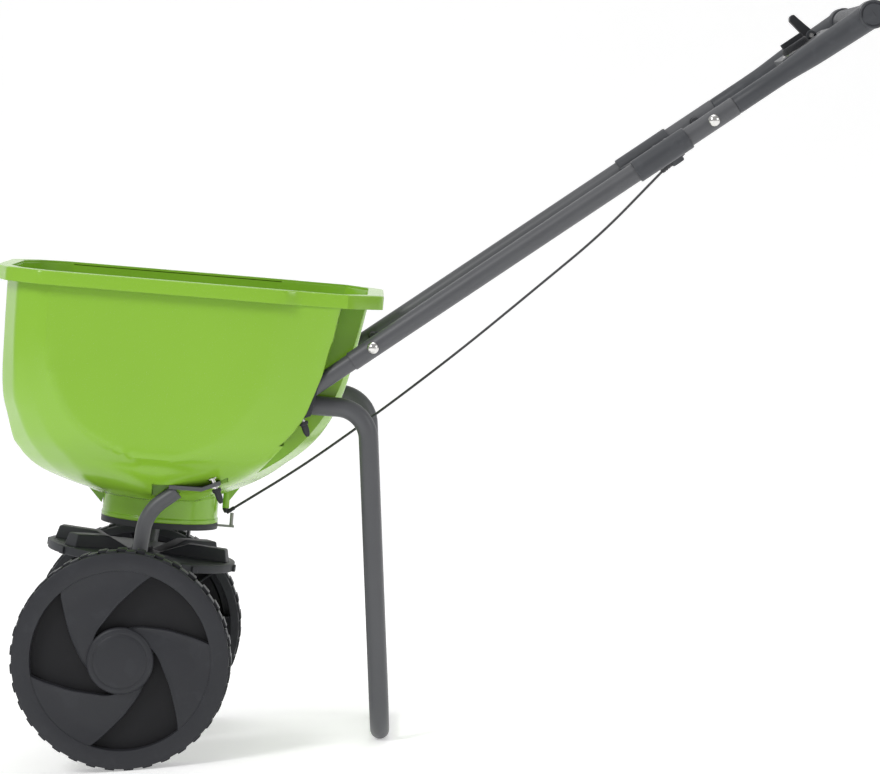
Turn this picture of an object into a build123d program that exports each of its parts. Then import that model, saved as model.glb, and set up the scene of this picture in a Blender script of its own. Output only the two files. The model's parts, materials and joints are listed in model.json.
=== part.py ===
"""Broadcast garden spreader, parked on its stand.

Millimetres. +X points to the rear (towards the handle), +Y to the operator's right, +Z up.
The origin is on the ground, straight below the middle of the axle.
"""
from build123d import *
from math import cos, pi, radians, sin, tan
import os

os.makedirs("parts", exist_ok=True)

# ---------------------------------------------------------------- driving dimensions
SIDES = {"left": -1, "right": 1}  # operator's left is -Y
run_clearance = 0.05  # radial, shaft in bore
slip_clearance = 0.2  # radial, tube in tube and bolt in hole
gap = 0.3  # between pieces that pass without touching

wheel_radius = 141.0
wheel_width = 50.0
track_width = 430.0  # over the outer faces of the wheels
tread_depth = 12.0
knob_height = 2.0
knob_count = 36
hub_radius = 17.0
hub_cap_radius = 43.0
swirl_depth = 16.0
face_radius = 115.0
axle_diameter = 10.0

lean_angle = 9.0  # the hopper leans back by this much while parked

rim_height = 487.0  # hopper heights are above the axle, square to the rim
rim_band = 18.0
wall = 3.5
bowl_floor = 198.0
neck_radius = 76.0
neck_bottom = 166.0
neck_centre_x = 26.0
base_plate_thickness = 8.0
side_half_width = 183.0
pocket_inner_y = 122.0
pocket_outer_y = 175.0

shaft_tilt = 3.0  # the spinner shaft leans back from the hopper's own axis
shaft_diameter = 8.0
spinner_height = 122.0  # from the axle to the top of the disc, along the shaft
spinner_radius = 124.0
spinner_skirt = 11.0
vane_height = 17.0
vane_width = 26.0
vane_angles = (-8.0, 38.0, 172.0, 218.0)

gear_module = 1.8
pinion_teeth = 10
crown_teeth = 40
gear_face = 8.0
tooth_share = 0.74  # tooth thickness as a share of half the pitch

bracket_tube = 20.0
bracket_y = 146.0

handle_angle = 38.5  # above the rim plane
handle_x = 288.0  # lower bolt, in the hopper's frame
handle_z = 422.0
handle_half_spacing = 161.0
lower_tube = 22.0
middle_tube = 25.0
tube_wall = 1.3
middle_start = -33.0  # distances along the handle are from the lower bolt
middle_length = 590.0
upper_bolt_s = 523.0
grip_s = 766.0
grip_bar_diameter = 31.0
grip_end_diameter = 37.0

stand_tube_diameter = 25.0
stand_half_spacing = 139.0
stand_top_z = 340.5
stand_foot_x = 322.0  # ground position of the foot
stand_bend = 42.0

bolt_diameter = 6.0
dome_diameter = 15.0

gate_travel = 14.0
gate_thickness = 2.5
cable_diameter = 3.4
boss_x = 112.0

# ---------------------------------------------------------------- frames
lean = radians(lean_angle)
body = Plane(origin=(0, 0, wheel_radius), x_dir=(cos(lean), 0, -sin(lean)), z_dir=(sin(lean), 0, cos(lean)))


def turned(base, x, z, angle):
    """A frame at (x, 0, z) of a base frame, its x axis raised by an angle in degrees."""
    along = base.x_dir * cos(radians(angle)) + base.z_dir * sin(radians(angle))
    up = base.z_dir * cos(radians(angle)) - base.x_dir * sin(radians(angle))
    return Plane(origin=base.from_local_coords((x, 0, z)), x_dir=along, z_dir=up)


def side_plane(base, y=0.0):
    """Sketch plane seen from the operator's left: sketch x, y are the frame's x, z; +normal is -Y."""
    return Plane(origin=base.from_local_coords((0, y, 0)), x_dir=base.x_dir, z_dir=(0, -1, 0))


def cross_plane(base, x=0.0):
    """Sketch plane across the frame: sketch x, y are the frame's y, z; +normal is the frame's x."""
    return Plane(origin=base.from_local_coords((x, 0, 0)), x_dir=(0, 1, 0), z_dir=base.x_dir)


def level_plane(base, z=0.0):
    """Sketch plane square to the frame's z axis."""
    return base.offset(z)


def face_plane(x, y, z, side):
    """Plane in world axes that faces outward on one side, sketch x to the operator's front or rear."""
    return Plane(origin=(x, y, z), x_dir=(-side, 0, 0), z_dir=(0, side, 0))


shaft = turned(body, 0, 0, -shaft_tilt)
handle = turned(body, handle_x, handle_z, handle_angle)


def turned_piece(seat, outline, rounds=()):
    """Revolve an (r, z) outline about a seat plane's z axis; rounds holds (vertex x, vertex y, radius)."""
    with BuildPart() as piece:
        with BuildSketch(Plane(origin=seat.origin, x_dir=seat.x_dir, z_dir=-seat.y_dir)):
            with BuildLine():
                Polyline(*outline, close=True)
            face = make_face()
            for x, y, radius in rounds:
                fillet(face.vertices().sort_by_distance((x, y, 0))[0], radius)
        revolve(axis=Axis(seat.origin, seat.z_dir))
    return piece.part


def seat_on(base, x, y, z, normal):
    """A seat plane at (x, y, z) of a frame whose z axis is a given direction of that frame."""
    direction = base.x_dir * normal[0] + base.y_dir * normal[1] + base.z_dir * normal[2]
    helper = base.y_dir if abs(normal[1]) < 0.5 else base.x_dir
    return Plane(origin=base.from_local_coords((x, y, z)), x_dir=helper, z_dir=direction)


def save(piece, name):
    """Label a finished piece and write it as its own STEP file."""
    piece.part.label = name
    export_step(piece.part, f"parts/{name}.step")


def mirrored_outline(points):
    """Close an outline given for y > 0, front to rear, by mirroring it across the x axis."""
    return points + [(x, -y) for x, y in reversed(points)]


# ---------------------------------------------------------------- hopper
bowl_above = 20.0  # the bowl's outlines run on past the rim, so that an inset bowl is still open at the top
bowl_side = [(-190, rim_height + bowl_above), (-186, bowl_floor), (-50, bowl_floor - 2), (96, bowl_floor + 9),
             (167, 230), (216, 260), (254, 301), (266, 345), (281, rim_height + bowl_above)]
bowl_plan = mirrored_outline([(-190, 100), (-172, 152), (-131, side_half_width), (169, side_half_width),
                              (250, side_half_width - 5), (279, 118)])
rim_plan = mirrored_outline([(-205, 105), (-186, 160), (-158, 182), (-143, 195), (172, 195), (188, 184),
                             (252, 178), (297, 120)])
rim_corner = 7.0
rim_lip = 3.0
neck_top = bowl_floor + 14  # the neck runs up into the bowl's floor
bowl_front_radius = 115.0
bowl_rear_radius = 60.0
bowl_side_radius = 85.0
bowl_half_width_low = side_half_width - 9
rim_bottom = rim_height - rim_band
ear_line = [(300, rim_bottom), (248, rim_bottom), (226, 380), (204, 312), (150, 240), (300, 240)]
pocket_line = [(300, rim_bottom), (215, rim_bottom), (165, 322), (165, 285), (300, 285)]
tab_top = 224.0  # underside of the pads that the axle brackets bolt to
tab_thickness = 5.0
tab_kink_x = 84.0
tab_end_x = 108.0
tab_rise = 24.0  # degrees, the end of the tab follows the bowl
tab_half_width = 11.0
boss_radius = 4.5
boss_bottom = 186.0


def bowl_block(inset, top):
    """The solid bowl, its three outlines drawn in by an inset, up to a given height."""
    with BuildPart() as block:
        with BuildSketch(side_plane(body, side_half_width)):
            with BuildLine():
                Polyline(*bowl_side, close=True)
            outline = make_face()
            fillet(outline.vertices().sort_by(Axis.X)[1:2], bowl_front_radius)
            fillet(outline.vertices().sort_by(Axis.X)[-5:-1], bowl_rear_radius)
            if inset:
                offset(amount=-inset, kind=Kind.INTERSECTION)
        extrude(amount=2 * side_half_width)
        with BuildSketch(cross_plane(body, -250)):
            with BuildLine():
                Polyline((-side_half_width, rim_height + bowl_above), (-bowl_half_width_low, bowl_floor - 2),
                         (bowl_half_width_low, bowl_floor - 2), (side_half_width, rim_height + bowl_above),
                         close=True)
            outline = make_face()
            fillet(outline.vertices().sort_by(Axis.Y)[0:2], bowl_side_radius)
            if inset:
                offset(amount=-inset, kind=Kind.INTERSECTION)
        extrude(amount=600, mode=Mode.INTERSECT)
        with BuildSketch(level_plane(body, 0)):
            with BuildLine():
                Polyline(*bowl_plan, close=True)
            outline = make_face()
            fillet(outline.vertices(), 9)
            if inset:
                offset(amount=-inset, kind=Kind.INTERSECTION)
        extrude(amount=top, mode=Mode.INTERSECT)
    return block.part


def ear_and_pocket(grow):
    """The space behind the rear ears and inside the two rear pockets, drawn forward by a wall."""
    with BuildPart() as space:
        for side in SIDES.values():
            outer = pocket_outer_y if grow == 0 else side_half_width + 20
            for line, far in ((ear_line, side_half_width + 20), (pocket_line, outer)):
                near = pocket_inner_y - grow
                with BuildSketch(side_plane(body, side * near)):
                    with BuildLine():
                        Polyline(*line, close=True)
                    make_face()
                    if grow:
                        offset(amount=grow, kind=Kind.INTERSECTION)
                extrude(amount=-side * (far - near))
    return space.part


def tab_profile(thickness_up, thickness_down, start, end):
    """Side outline of a plate along the bracket tab line, from x = start to x = end."""
    rise = (end - tab_kink_x) * tan(radians(tab_rise))
    below = tab_top - thickness_down
    above = tab_top + thickness_up
    return [(start, below), (tab_kink_x, below), (end, below + rise),
            (end, above + rise), (tab_kink_x, above), (start, above)]


pad_wall = 3.0
pad_start = 20.0
pad_end = 116.0
tab_room = tab_half_width + 2.0
bolt_radius = bolt_diameter / 2
bolt_hole_radius = bolt_radius + slip_clearance
tab_bolt_x = (tab_kink_x + tab_end_x) / 2 + 3
tab_bolt_z = tab_top + (tab_bolt_x - tab_kink_x) * tan(radians(tab_rise))
tab_bolt_frame = turned(body, tab_bolt_x, tab_bolt_z, tab_rise)

with BuildPart() as bracket_pads:
    for side in SIDES.values():
        with BuildSketch(side_plane(body, side * (bracket_y - tab_room - pad_wall))):
            with BuildLine():
                Polyline(*tab_profile(pad_wall + 2, 40, pad_start - pad_wall, pad_end + pad_wall), close=True)
            make_face()
        extrude(amount=-side * 2 * (tab_room + pad_wall))
    add(bowl_block(0, rim_height), mode=Mode.INTERSECT)

with BuildPart() as hopper:
    add(bowl_block(0, rim_height - 2))
    with BuildSketch(level_plane(body, neck_bottom)):
        with Locations((neck_centre_x, 0)):
            Circle(neck_radius)
    extrude(amount=neck_top - neck_bottom)
    add(ear_and_pocket(0), mode=Mode.SUBTRACT)
    with BuildSketch(level_plane(body, rim_bottom)):
        with BuildLine():
            Polyline(*rim_plan, close=True)
        rim_face = make_face()
        fillet(rim_face.vertices(), rim_corner)
    extrude(amount=rim_band)
    with BuildSketch(level_plane(body, rim_bottom)):
        with BuildLine():
            Polyline(*rim_plan, close=True)
        rim_face = make_face()
        fillet(rim_face.vertices(), rim_corner)
        offset(amount=-rim_lip, kind=Kind.INTERSECTION)
        with BuildLine():
            Polyline(*bowl_plan, close=True)
        make_face(mode=Mode.SUBTRACT)
    extrude(amount=rim_band - rim_lip, mode=Mode.SUBTRACT)
    cavity = bowl_block(wall, rim_height + 1) - ear_and_pocket(wall)
    add(cavity, mode=Mode.SUBTRACT)
    with BuildSketch(level_plane(body, neck_bottom)):
        with Locations((neck_centre_x, 0)):
            Circle(neck_radius - wall)
    extrude(amount=neck_top - neck_bottom, mode=Mode.SUBTRACT)
    # the plug boss behind the neck, with its gusset, and the gusset at the front of the neck
    with BuildSketch(level_plane(body, boss_bottom)):
        with Locations((boss_x, 0)):
            Circle(boss_radius)
    extrude(amount=bowl_floor + 12 - boss_bottom)
    with BuildSketch(side_plane(body, 1.5)):
        with BuildLine():
            Polyline((boss_x, boss_bottom + 4), (boss_x + 22, bowl_floor + 22), (boss_x, bowl_floor + 12),
                     close=True)
        make_face()
        with BuildLine():
            Polyline((-52, 180), (-72, bowl_floor + 2), (-48, bowl_floor + 2), close=True)
        make_face()
    extrude(amount=3)
    add(cavity, mode=Mode.SUBTRACT)
    add(bracket_pads.part)
    for side in SIDES.values():
        with BuildSketch(side_plane(body, side * (bracket_y - tab_room))):
            with BuildLine():
                Polyline(*tab_profile(0, 60, pad_start, pad_end), close=True)
            make_face()
        extrude(amount=-side * 2 * tab_room, mode=Mode.SUBTRACT)
    for side in SIDES.values():
        with BuildSketch(level_plane(tab_bolt_frame, -20)):
            with Locations((0, side * bracket_y)):
                Circle(bolt_hole_radius)
        extrude(amount=40, mode=Mode.SUBTRACT)
    with BuildSketch(level_plane(body, boss_bottom)):
        with Locations((boss_x, 0)):
            Circle(2.5)
    extrude(amount=14, mode=Mode.SUBTRACT)
save(hopper, "hopper")

# ---------------------------------------------------------------- base plate and gate
base_bottom = neck_bottom - base_plate_thickness
port_length = 40.0
port_width = 12.0
base_ports = (neck_centre_x - 40, neck_centre_x + 32)
gate_bottom = base_bottom + 3.0
gate_front = neck_centre_x - 64
gate_rear = neck_centre_x + 44
gate_half_width = 30.0
tongue_end = 124.0
tongue_half_width = 4.0

with BuildPart() as base_plate:
    with BuildSketch(level_plane(body, base_bottom)):
        with Locations((neck_centre_x, 0)):
            Circle(neck_radius + 1)
    extrude(amount=base_plate_thickness)
    with BuildSketch(level_plane(body, base_bottom)):
        with Locations(*[(x, 0) for x in base_ports]):
            Rectangle(port_width, port_length)
    extrude(amount=base_plate_thickness, mode=Mode.SUBTRACT)
    # the channel that the gate slides in
    with BuildSketch(level_plane(body, gate_bottom - gap)):
        with Locations(((gate_front + gate_rear + gate_travel) / 2, 0)):
            Rectangle(gate_rear - gate_front + gate_travel + 2 * gap, 2 * (gate_half_width + gap))
        with Locations((neck_centre_x + neck_radius / 2 + 10, 0)):
            Rectangle(neck_radius + 20, 2 * (tongue_half_width + gap))
    extrude(amount=gate_thickness + 2 * gap, mode=Mode.SUBTRACT)
    # a short chute under the rear port
    with BuildSketch(level_plane(body, base_bottom - 13)):
        with Locations((base_ports[1] + port_width / 2 + 2, 0)):
            Rectangle(3, port_length + 6)
    extrude(amount=13)
    with BuildSketch(level_plane(shaft, base_bottom - 20)):
        Circle(shaft_diameter / 2 + 1.5)
    extrude(amount=60, mode=Mode.SUBTRACT)
save(base_plate, "base_plate")

with BuildPart() as gate_plate:
    with BuildSketch(level_plane(body, gate_bottom)):
        with Locations(((gate_front + gate_rear) / 2, 0)):
            Rectangle(gate_rear - gate_front, 2 * gate_half_width)
        with Locations(((gate_rear + tongue_end) / 2, 0)):
            Rectangle(tongue_end - gate_rear + 2, 2 * tongue_half_width)
        with Locations(*[(x - gate_travel, 0) for x in base_ports]):
            Rectangle(port_width, port_length, mode=Mode.SUBTRACT)
        with Locations((gate_bottom * tan(radians(shaft_tilt)) - gate_travel / 2, 0)):
            SlotOverall(gate_travel + shaft_diameter + 8, shaft_diameter + 6, mode=Mode.SUBTRACT)
    extrude(amount=gate_thickness)
    with BuildSketch(level_plane(body, gate_bottom)):
        with Locations((tongue_end - 3, 0)):
            Circle(2.4)
    extrude(amount=boss_bottom - 6 - gate_bottom)
save(gate_plate, "gate_plate")

plug_seat = seat_on(body, boss_x, 0, boss_bottom, (0, 0, -1))
cable_start = (118.5, 183.5)
cable_rise = 36.1  # degrees, where the cable leaves the plug
plug_arm = turned(body, *cable_start, cable_rise)
plug_arm_radius = 2.6
with BuildPart() as boss_plug:
    add(turned_piece(plug_seat, [(0, -12), (2.45, -12), (2.45, 0), (4.2, 0), (4.2, 2), (1.6, 6.5), (0, 6.5)]))
    with BuildSketch(cross_plane(plug_arm, -6)):
        Circle(plug_arm_radius)
    extrude(amount=12)
    with BuildSketch(cross_plane(plug_arm)):
        Circle(cable_diameter / 2 + run_clearance)
    extrude(amount=20, mode=Mode.SUBTRACT)
save(boss_plug, "boss_plug")

# ---------------------------------------------------------------- axle, brackets and bushes
axle_radius = axle_diameter / 2
bush_wall = 2.0
eye_radius = 14.0
eye_half_width = bracket_tube / 2
bush_flange = 3.0
axle_end = track_width / 2 - 6

with BuildPart() as axle:
    with BuildSketch(Plane(origin=(0, -axle_end, wheel_radius), x_dir=(1, 0, 0), z_dir=(0, 1, 0))):
        Circle(axle_radius)
    extrude(amount=2 * axle_end)
    chamfer(axle.edges().filter_by(GeomType.CIRCLE), 0.8)
save(axle, "axle")

for name, side in SIDES.items():
    middle = side_plane(body, side * bracket_y)
    with BuildPart() as bracket:
        with BuildLine(middle) as route:
            FilletPolyline((0, 8), (15, 186), (48, 214), radius=58)
        with BuildSketch(Plane(origin=route.line @ 0, z_dir=route.line % 0)):
            Circle(bracket_tube / 2)
        sweep(path=route.line)
        with BuildSketch(middle.offset(-tab_half_width)):
            with BuildLine():
                Polyline(*tab_profile(0, tab_thickness, pad_start + 22, tab_end_x), close=True)
            make_face()
        extrude(amount=2 * tab_half_width)
        with BuildSketch(middle.offset(-tab_half_width)):
            with BuildLine():
                Polyline(*tab_profile(-0.01, -60, pad_start - 60, pad_end + 60), close=True)
            make_face()
        extrude(amount=2 * tab_half_width, mode=Mode.SUBTRACT)
        with BuildSketch(middle.offset(-eye_half_width)):
            Circle(eye_radius)
        extrude(amount=2 * eye_half_width)
        with BuildSketch(middle.offset(-eye_half_width)):
            Circle(axle_radius + bush_wall)
        extrude(amount=2 * eye_half_width, mode=Mode.SUBTRACT)
        with BuildSketch(level_plane(tab_bolt_frame, -20)):
            with Locations((0, side * bracket_y)):
                Circle(bolt_hole_radius)
        extrude(amount=40, mode=Mode.SUBTRACT)
    save(bracket, f"axle_bracket_{name}")

with BuildPart() as axle_bushes:
    for side in SIDES.values():
        for end in (-1, 1):
            flange = Plane(origin=(0, side * bracket_y + end * eye_half_width, wheel_radius), x_dir=(1, 0, 0),
                           z_dir=(0, end, 0))
            bore = axle_radius + run_clearance
            sleeve = axle_radius + bush_wall
            add(turned_piece(flange, [(bore, -eye_half_width + gap), (sleeve, -eye_half_width + gap), (sleeve, 0),
                                      (eye_radius - 1, 0), (eye_radius - 1, bush_flange), (bore, bush_flange)]))
save(axle_bushes, "axle_bushes")

nut_drop = 3.0  # the cap nuts stand off the tabs, showing a little bare shank
# bolts through the bracket tabs, their heads inside the hopper and their cap nuts below
cap_thread = 12.0  # depth of the hole in a cap nut
cap_outline = [(bolt_radius, 0), (6.0, 0), (6.0, 4), (4.4, 5), (4.4, 13), (2.6, 20), (0, 20), (0, cap_thread),
               (bolt_radius, cap_thread)]
head_radius = 6.5
head_edge = 2.0


def plain_bolt(head_seat, length):
    """A low round head on a seat plane, its shank running back through the parts it clamps."""
    outline = [(0, -length), (bolt_radius, -length), (bolt_radius, 0), (head_radius, 0),
               (head_radius, head_edge), (0, 3.6)]
    return turned_piece(head_seat, outline, rounds=[(head_radius, head_edge, 1.2)])


with BuildPart() as bracket_bolts:
    for side in SIDES.values():
        add(plain_bolt(seat_on(tab_bolt_frame, 0, side * bracket_y, pad_wall + 2, (0, 0, 1)),
                       pad_wall + 2 + tab_thickness + nut_drop + cap_thread - 1))
save(bracket_bolts, "bracket_bolts")

with BuildPart() as bracket_cap_nuts:
    for side in SIDES.values():
        add(turned_piece(seat_on(tab_bolt_frame, 0, side * bracket_y, -tab_thickness - nut_drop, (0, 0, -1)),
                         cap_outline))
save(bracket_cap_nuts, "bracket_cap_nuts")

# ---------------------------------------------------------------- wheels
tread_inner = wheel_radius - knob_height - tread_depth
face_recess = 3.0
blade_count = 3
blade_start = 65.4  # degrees, where the first blade's rear edge leaves the face ring
blade_span = 61.5  # degrees taken by a blade where it meets the face ring
hub_length = wheel_width - 4


def polar(radius, angle):
    """A sketch point from its radius and its angle in degrees."""
    return (radius * cos(radians(angle)), radius * sin(radians(angle)))


def swirl_edge(start_angle, sweep_angle):
    """Points of a curved blade edge, from the face ring in to the hub cap."""
    steps = 4
    points = []
    for i in range(steps + 1):
        share = i / steps
        radius = face_radius + 2 - share * (face_radius + 6 - hub_cap_radius)
        points.append(polar(radius, start_angle + sweep_angle * share ** 1.5))
    return points


def build_wheel(name, side):
    """One wheel: tread ring with knobs, face with swirl blades, and a long hub."""
    outer = face_plane(0, side * track_width / 2, wheel_radius, side)
    with BuildPart() as wheel:
        with BuildSketch(outer):
            Circle(wheel_radius - knob_height)
            Circle(tread_inner, mode=Mode.SUBTRACT)
        extrude(amount=-wheel_width)
        with BuildSketch(outer.offset(-6)):
            with PolarLocations(wheel_radius - knob_height - 1, knob_count):
                Rectangle(2 * knob_height + 2, 11)
        extrude(amount=-(wheel_width - 12))
        with BuildSketch(outer.offset(-face_recess)):
            Circle(tread_inner + 1)
            Circle(face_radius - 1, mode=Mode.SUBTRACT)
        extrude(amount=-4)
        with BuildSketch(outer.offset(-swirl_depth)):
            Circle(tread_inner + 1)
        extrude(amount=-3)
        with BuildSketch(outer.offset(-swirl_depth)):
            with PolarLocations(0, blade_count):
                with BuildLine():
                    rear_edge = Spline(*swirl_edge(blade_start, 52))
                    front_edge = Spline(*swirl_edge(blade_start + blade_span, 60))
                    middle = polar(face_radius + 2, blade_start + blade_span / 2)
                    ThreePointArc(rear_edge @ 0, middle, front_edge @ 0)
                    Line(rear_edge @ 1, front_edge @ 1)
                make_face()
        extrude(amount=swirl_depth - face_recess)
        with BuildSketch(outer.offset(-4)):
            Circle(hub_cap_radius + 3)
        extrude(amount=-swirl_depth)
        with BuildSketch(outer.offset(-4)):
            Circle(hub_radius)
        extrude(amount=-hub_length)
        with BuildSketch(outer.offset(-swirl_depth)):
            with PolarLocations(hub_radius + (tread_inner - hub_radius) / 2, 12):
                Rectangle(tread_inner - hub_radius + 2, 3)
            Circle(78)
            Circle(74, mode=Mode.SUBTRACT)
        extrude(amount=-18)
        with BuildSketch(outer):
            Circle(axle_radius + run_clearance)
        extrude(amount=-wheel_width, mode=Mode.SUBTRACT)
        with BuildSketch(outer.offset(-4)):
            Circle(hub_cap_radius + gap)
        extrude(amount=8, mode=Mode.SUBTRACT)
    save(wheel, f"wheel_{name}")
    with BuildPart() as hub_cap:
        seat = Plane(origin=outer.origin, x_dir=outer.x_dir, z_dir=outer.z_dir)
        add(turned_piece(seat, [(0, -2), (axle_radius + 4, -2), (axle_radius + 4, -4), (hub_cap_radius, -4),
                                (hub_cap_radius, -1), (hub_cap_radius - 4, 1), (0, 3)],
                         rounds=[(hub_cap_radius, -1, 1.5)]))
    save(hub_cap, f"hub_cap_{name}")


for name, side in SIDES.items():
    build_wheel(name, side)

# ---------------------------------------------------------------- gearbox and spinner
pinion_radius = gear_module * pinion_teeth / 2
crown_radius = gear_module * crown_teeth / 2
addendum = 1.5
dedendum = 1.9
tooth_pitch = pi * gear_module
tooth_half = tooth_pitch / 2 * tooth_share / 2
crown_face_y = -(pinion_radius + dedendum)
crown_back = 5.0
crown_hub_length = 12.0
shaft_top = 192.0
shaft_foot = 14.0

with BuildPart() as crown_gear:
    crown = Plane(origin=(0, crown_face_y, wheel_radius), x_dir=body.x_dir, z_dir=(0, 1, 0))
    with BuildSketch(crown.offset(-crown_back)):
        Circle(crown_radius + gear_face / 2)
    extrude(amount=crown_back)
    with BuildSketch(crown.offset(-crown_back)):
        Circle(axle_radius + 6)
    extrude(amount=-crown_hub_length)
    for i in range(crown_teeth):
        tooth = turned(body, 0, 0, 90 - shaft_tilt + i * 360 / crown_teeth)
        with BuildSketch(cross_plane(tooth, crown_radius - gear_face / 2)):
            with BuildLine():
                Polyline((crown_face_y - 0.5, -tooth_half - 0.5), (crown_face_y - 0.5, tooth_half + 0.5),
                         (crown_face_y + addendum + dedendum, tooth_half - 0.4),
                         (crown_face_y + addendum + dedendum, -tooth_half + 0.4), close=True)
            make_face()
        extrude(amount=gear_face)
    with BuildSketch(crown.offset(-crown_back - crown_hub_length)):
        Circle(axle_radius)
    extrude(amount=60, mode=Mode.SUBTRACT)
save(crown_gear, "crown_gear")

with BuildPart() as pinion:
    with BuildSketch(level_plane(shaft, crown_radius - gear_face / 2)):
        Circle(pinion_radius - dedendum)
        with PolarLocations(pinion_radius - dedendum, pinion_teeth, start_angle=90 + 180 / pinion_teeth):
            with BuildLine():
                Polyline((-1, -tooth_half - 0.5), (-1, tooth_half + 0.5),
                         (addendum + dedendum, tooth_half - 0.4), (addendum + dedendum, -tooth_half + 0.4),
                         close=True)
            make_face()
    extrude(amount=gear_face)
    with BuildSketch(level_plane(shaft, crown_radius - gear_face / 2)):
        Circle(shaft_diameter / 2)
    extrude(amount=gear_face, mode=Mode.SUBTRACT)
save(pinion, "pinion")

with BuildPart() as spinner_shaft:
    with BuildSketch(level_plane(shaft, shaft_foot)):
        Circle(shaft_diameter / 2)
    extrude(amount=shaft_top - shaft_foot)
    chamfer(spinner_shaft.edges().filter_by(GeomType.CIRCLE), 0.6)
save(spinner_shaft, "spinner_shaft")

with BuildPart() as spinner:
    with BuildSketch(level_plane(shaft, spinner_height - 3)):
        Circle(spinner_radius)
    extrude(amount=3)
    with BuildSketch(level_plane(shaft, spinner_height - spinner_skirt)):
        Circle(spinner_radius)
        Circle(spinner_radius - 3, mode=Mode.SUBTRACT)
    extrude(amount=spinner_skirt)
    with BuildSketch(level_plane(shaft, spinner_height - spinner_skirt)):
        with PolarLocations(spinner_radius, 8, start_angle=vane_angles[0]):
            Rectangle(6, 9)
    extrude(amount=spinner_skirt - 2)
    with BuildSketch(level_plane(shaft, spinner_height - 16)):
        Circle(13)
    extrude(amount=22)
    for angle in vane_angles:
        spin = Plane(shaft.location * Location((0, 0, 0), (0, 0, 1), angle))
        with BuildSketch(Plane(origin=spin.from_local_coords((0, vane_width / 2, 0)), x_dir=spin.x_dir,
                               z_dir=-spin.y_dir)):
            with BuildLine():
                vane_top = spinner_height + vane_height
                Polyline((22, spinner_height - 1), (spinner_radius - 8, spinner_height - 1),
                         (spinner_radius - 12, vane_top), (62, vane_top), close=True)
            make_face()
        extrude(amount=vane_width)
    with BuildSketch(level_plane(shaft, spinner_height - 20)):
        Circle(shaft_diameter / 2)
    extrude(amount=60, mode=Mode.SUBTRACT)
save(spinner, "spinner")

with BuildPart() as agitator:
    with BuildSketch(level_plane(shaft, shaft_top - 12)):
        Circle(8)
        Rectangle(56, 6)
    extrude(amount=6)
    with BuildSketch(level_plane(shaft, shaft_top - 12)):
        with Locations((25, 0), (-25, 0)):
            Circle(3)
    extrude(amount=16)
    with BuildSketch(level_plane(shaft, shaft_top - 12)):
        Circle(shaft_diameter / 2)
    extrude(amount=16, mode=Mode.SUBTRACT)
save(agitator, "agitator")

case_radius = crown_radius + gear_face / 2 + 6
case_wall = 3.0
case_split = -12.0
case_left = crown_face_y - crown_back - crown_hub_length - 1
case_right = 22.0
shaft_bush_top = 62.0

with BuildPart() as gearbox_housing:
    with BuildSketch(Plane(origin=(0, case_split, wheel_radius), x_dir=body.x_dir, z_dir=(0, 1, 0))):
        Circle(case_radius)
    extrude(amount=case_right - case_split)
    with BuildSketch(level_plane(shaft, 30)):
        Circle(-case_split)
    extrude(amount=shaft_bush_top - 30)
    with BuildSketch(Plane(origin=(0, case_split, wheel_radius), x_dir=body.x_dir, z_dir=(0, 1, 0))):
        Circle(case_radius - case_wall)
    extrude(amount=case_right - case_split - case_wall, mode=Mode.SUBTRACT)
    with BuildSketch(level_plane(shaft, 20)):
        Circle(shaft_diameter / 2 + run_clearance)
    extrude(amount=60, mode=Mode.SUBTRACT)
    with BuildSketch(Plane(origin=(0, case_split, wheel_radius), x_dir=body.x_dir, z_dir=(0, 1, 0))):
        Circle(axle_radius + run_clearance)
    extrude(amount=60, mode=Mode.SUBTRACT)
save(gearbox_housing, "gearbox_housing")

with BuildPart() as gearbox_cover:
    with BuildSketch(Plane(origin=(0, case_split, wheel_radius), x_dir=body.x_dir, z_dir=(0, -1, 0))):
        Circle(case_radius)
    extrude(amount=case_split - case_left + case_wall)
    with BuildSketch(Plane(origin=(0, case_split, wheel_radius), x_dir=body.x_dir, z_dir=(0, -1, 0))):
        Circle(case_radius - case_wall)
    extrude(amount=case_split - case_left, mode=Mode.SUBTRACT)
    with BuildSketch(Plane(origin=(0, case_split, wheel_radius), x_dir=body.x_dir, z_dir=(0, -1, 0))):
        Circle(axle_radius + run_clearance)
    extrude(amount=60, mode=Mode.SUBTRACT)
save(gearbox_cover, "gearbox_cover")

# ---------------------------------------------------------------- handle tubes
lower_tube_end_x = 206.0  # where the lower tubes stop inside their sockets
lower_start_s = (lower_tube_end_x - handle_x) / cos(radians(handle_angle))
lower_overlap = 28.0
handle_bolt_places = (0.0, upper_bolt_s)
middle_end = middle_start + middle_length


def tube_between(frame, half_spacing, side, start, end, outer, inner):
    """A straight tube along a frame's x axis, at one side of the frame, with cross bolt holes."""
    with BuildPart() as tube:
        with BuildSketch(cross_plane(frame, start)):
            with Locations((side * half_spacing, 0)):
                Circle(outer)
                Circle(inner, mode=Mode.SUBTRACT)
        extrude(amount=end - start)
        for place in handle_bolt_places:
            if start < place < end:
                with BuildSketch(side_plane(frame, side * (half_spacing + 20))):
                    with Locations((place, 0)):
                        Circle(bolt_hole_radius)
                extrude(amount=side * 40, mode=Mode.SUBTRACT)
    return tube


for name, side in SIDES.items():
    save(tube_between(handle, handle_half_spacing, side, lower_start_s, lower_overlap, lower_tube / 2,
                      lower_tube / 2 - tube_wall), f"lower_handle_tube_{name}")
    save(tube_between(handle, handle_half_spacing, side, middle_start, middle_end, middle_tube / 2,
                      lower_tube / 2 + slip_clearance), f"middle_handle_tube_{name}")

# ---------------------------------------------------------------- moulded upper handle
arm_radius = lower_tube / 2
arm_neck_radius = 12.2
arm_swell_s = 640.0
arm_full_s = 690.0
arm_full_radius = 15.6
arm_end_radius = 17.2
grip_end_width = 36.0


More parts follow.
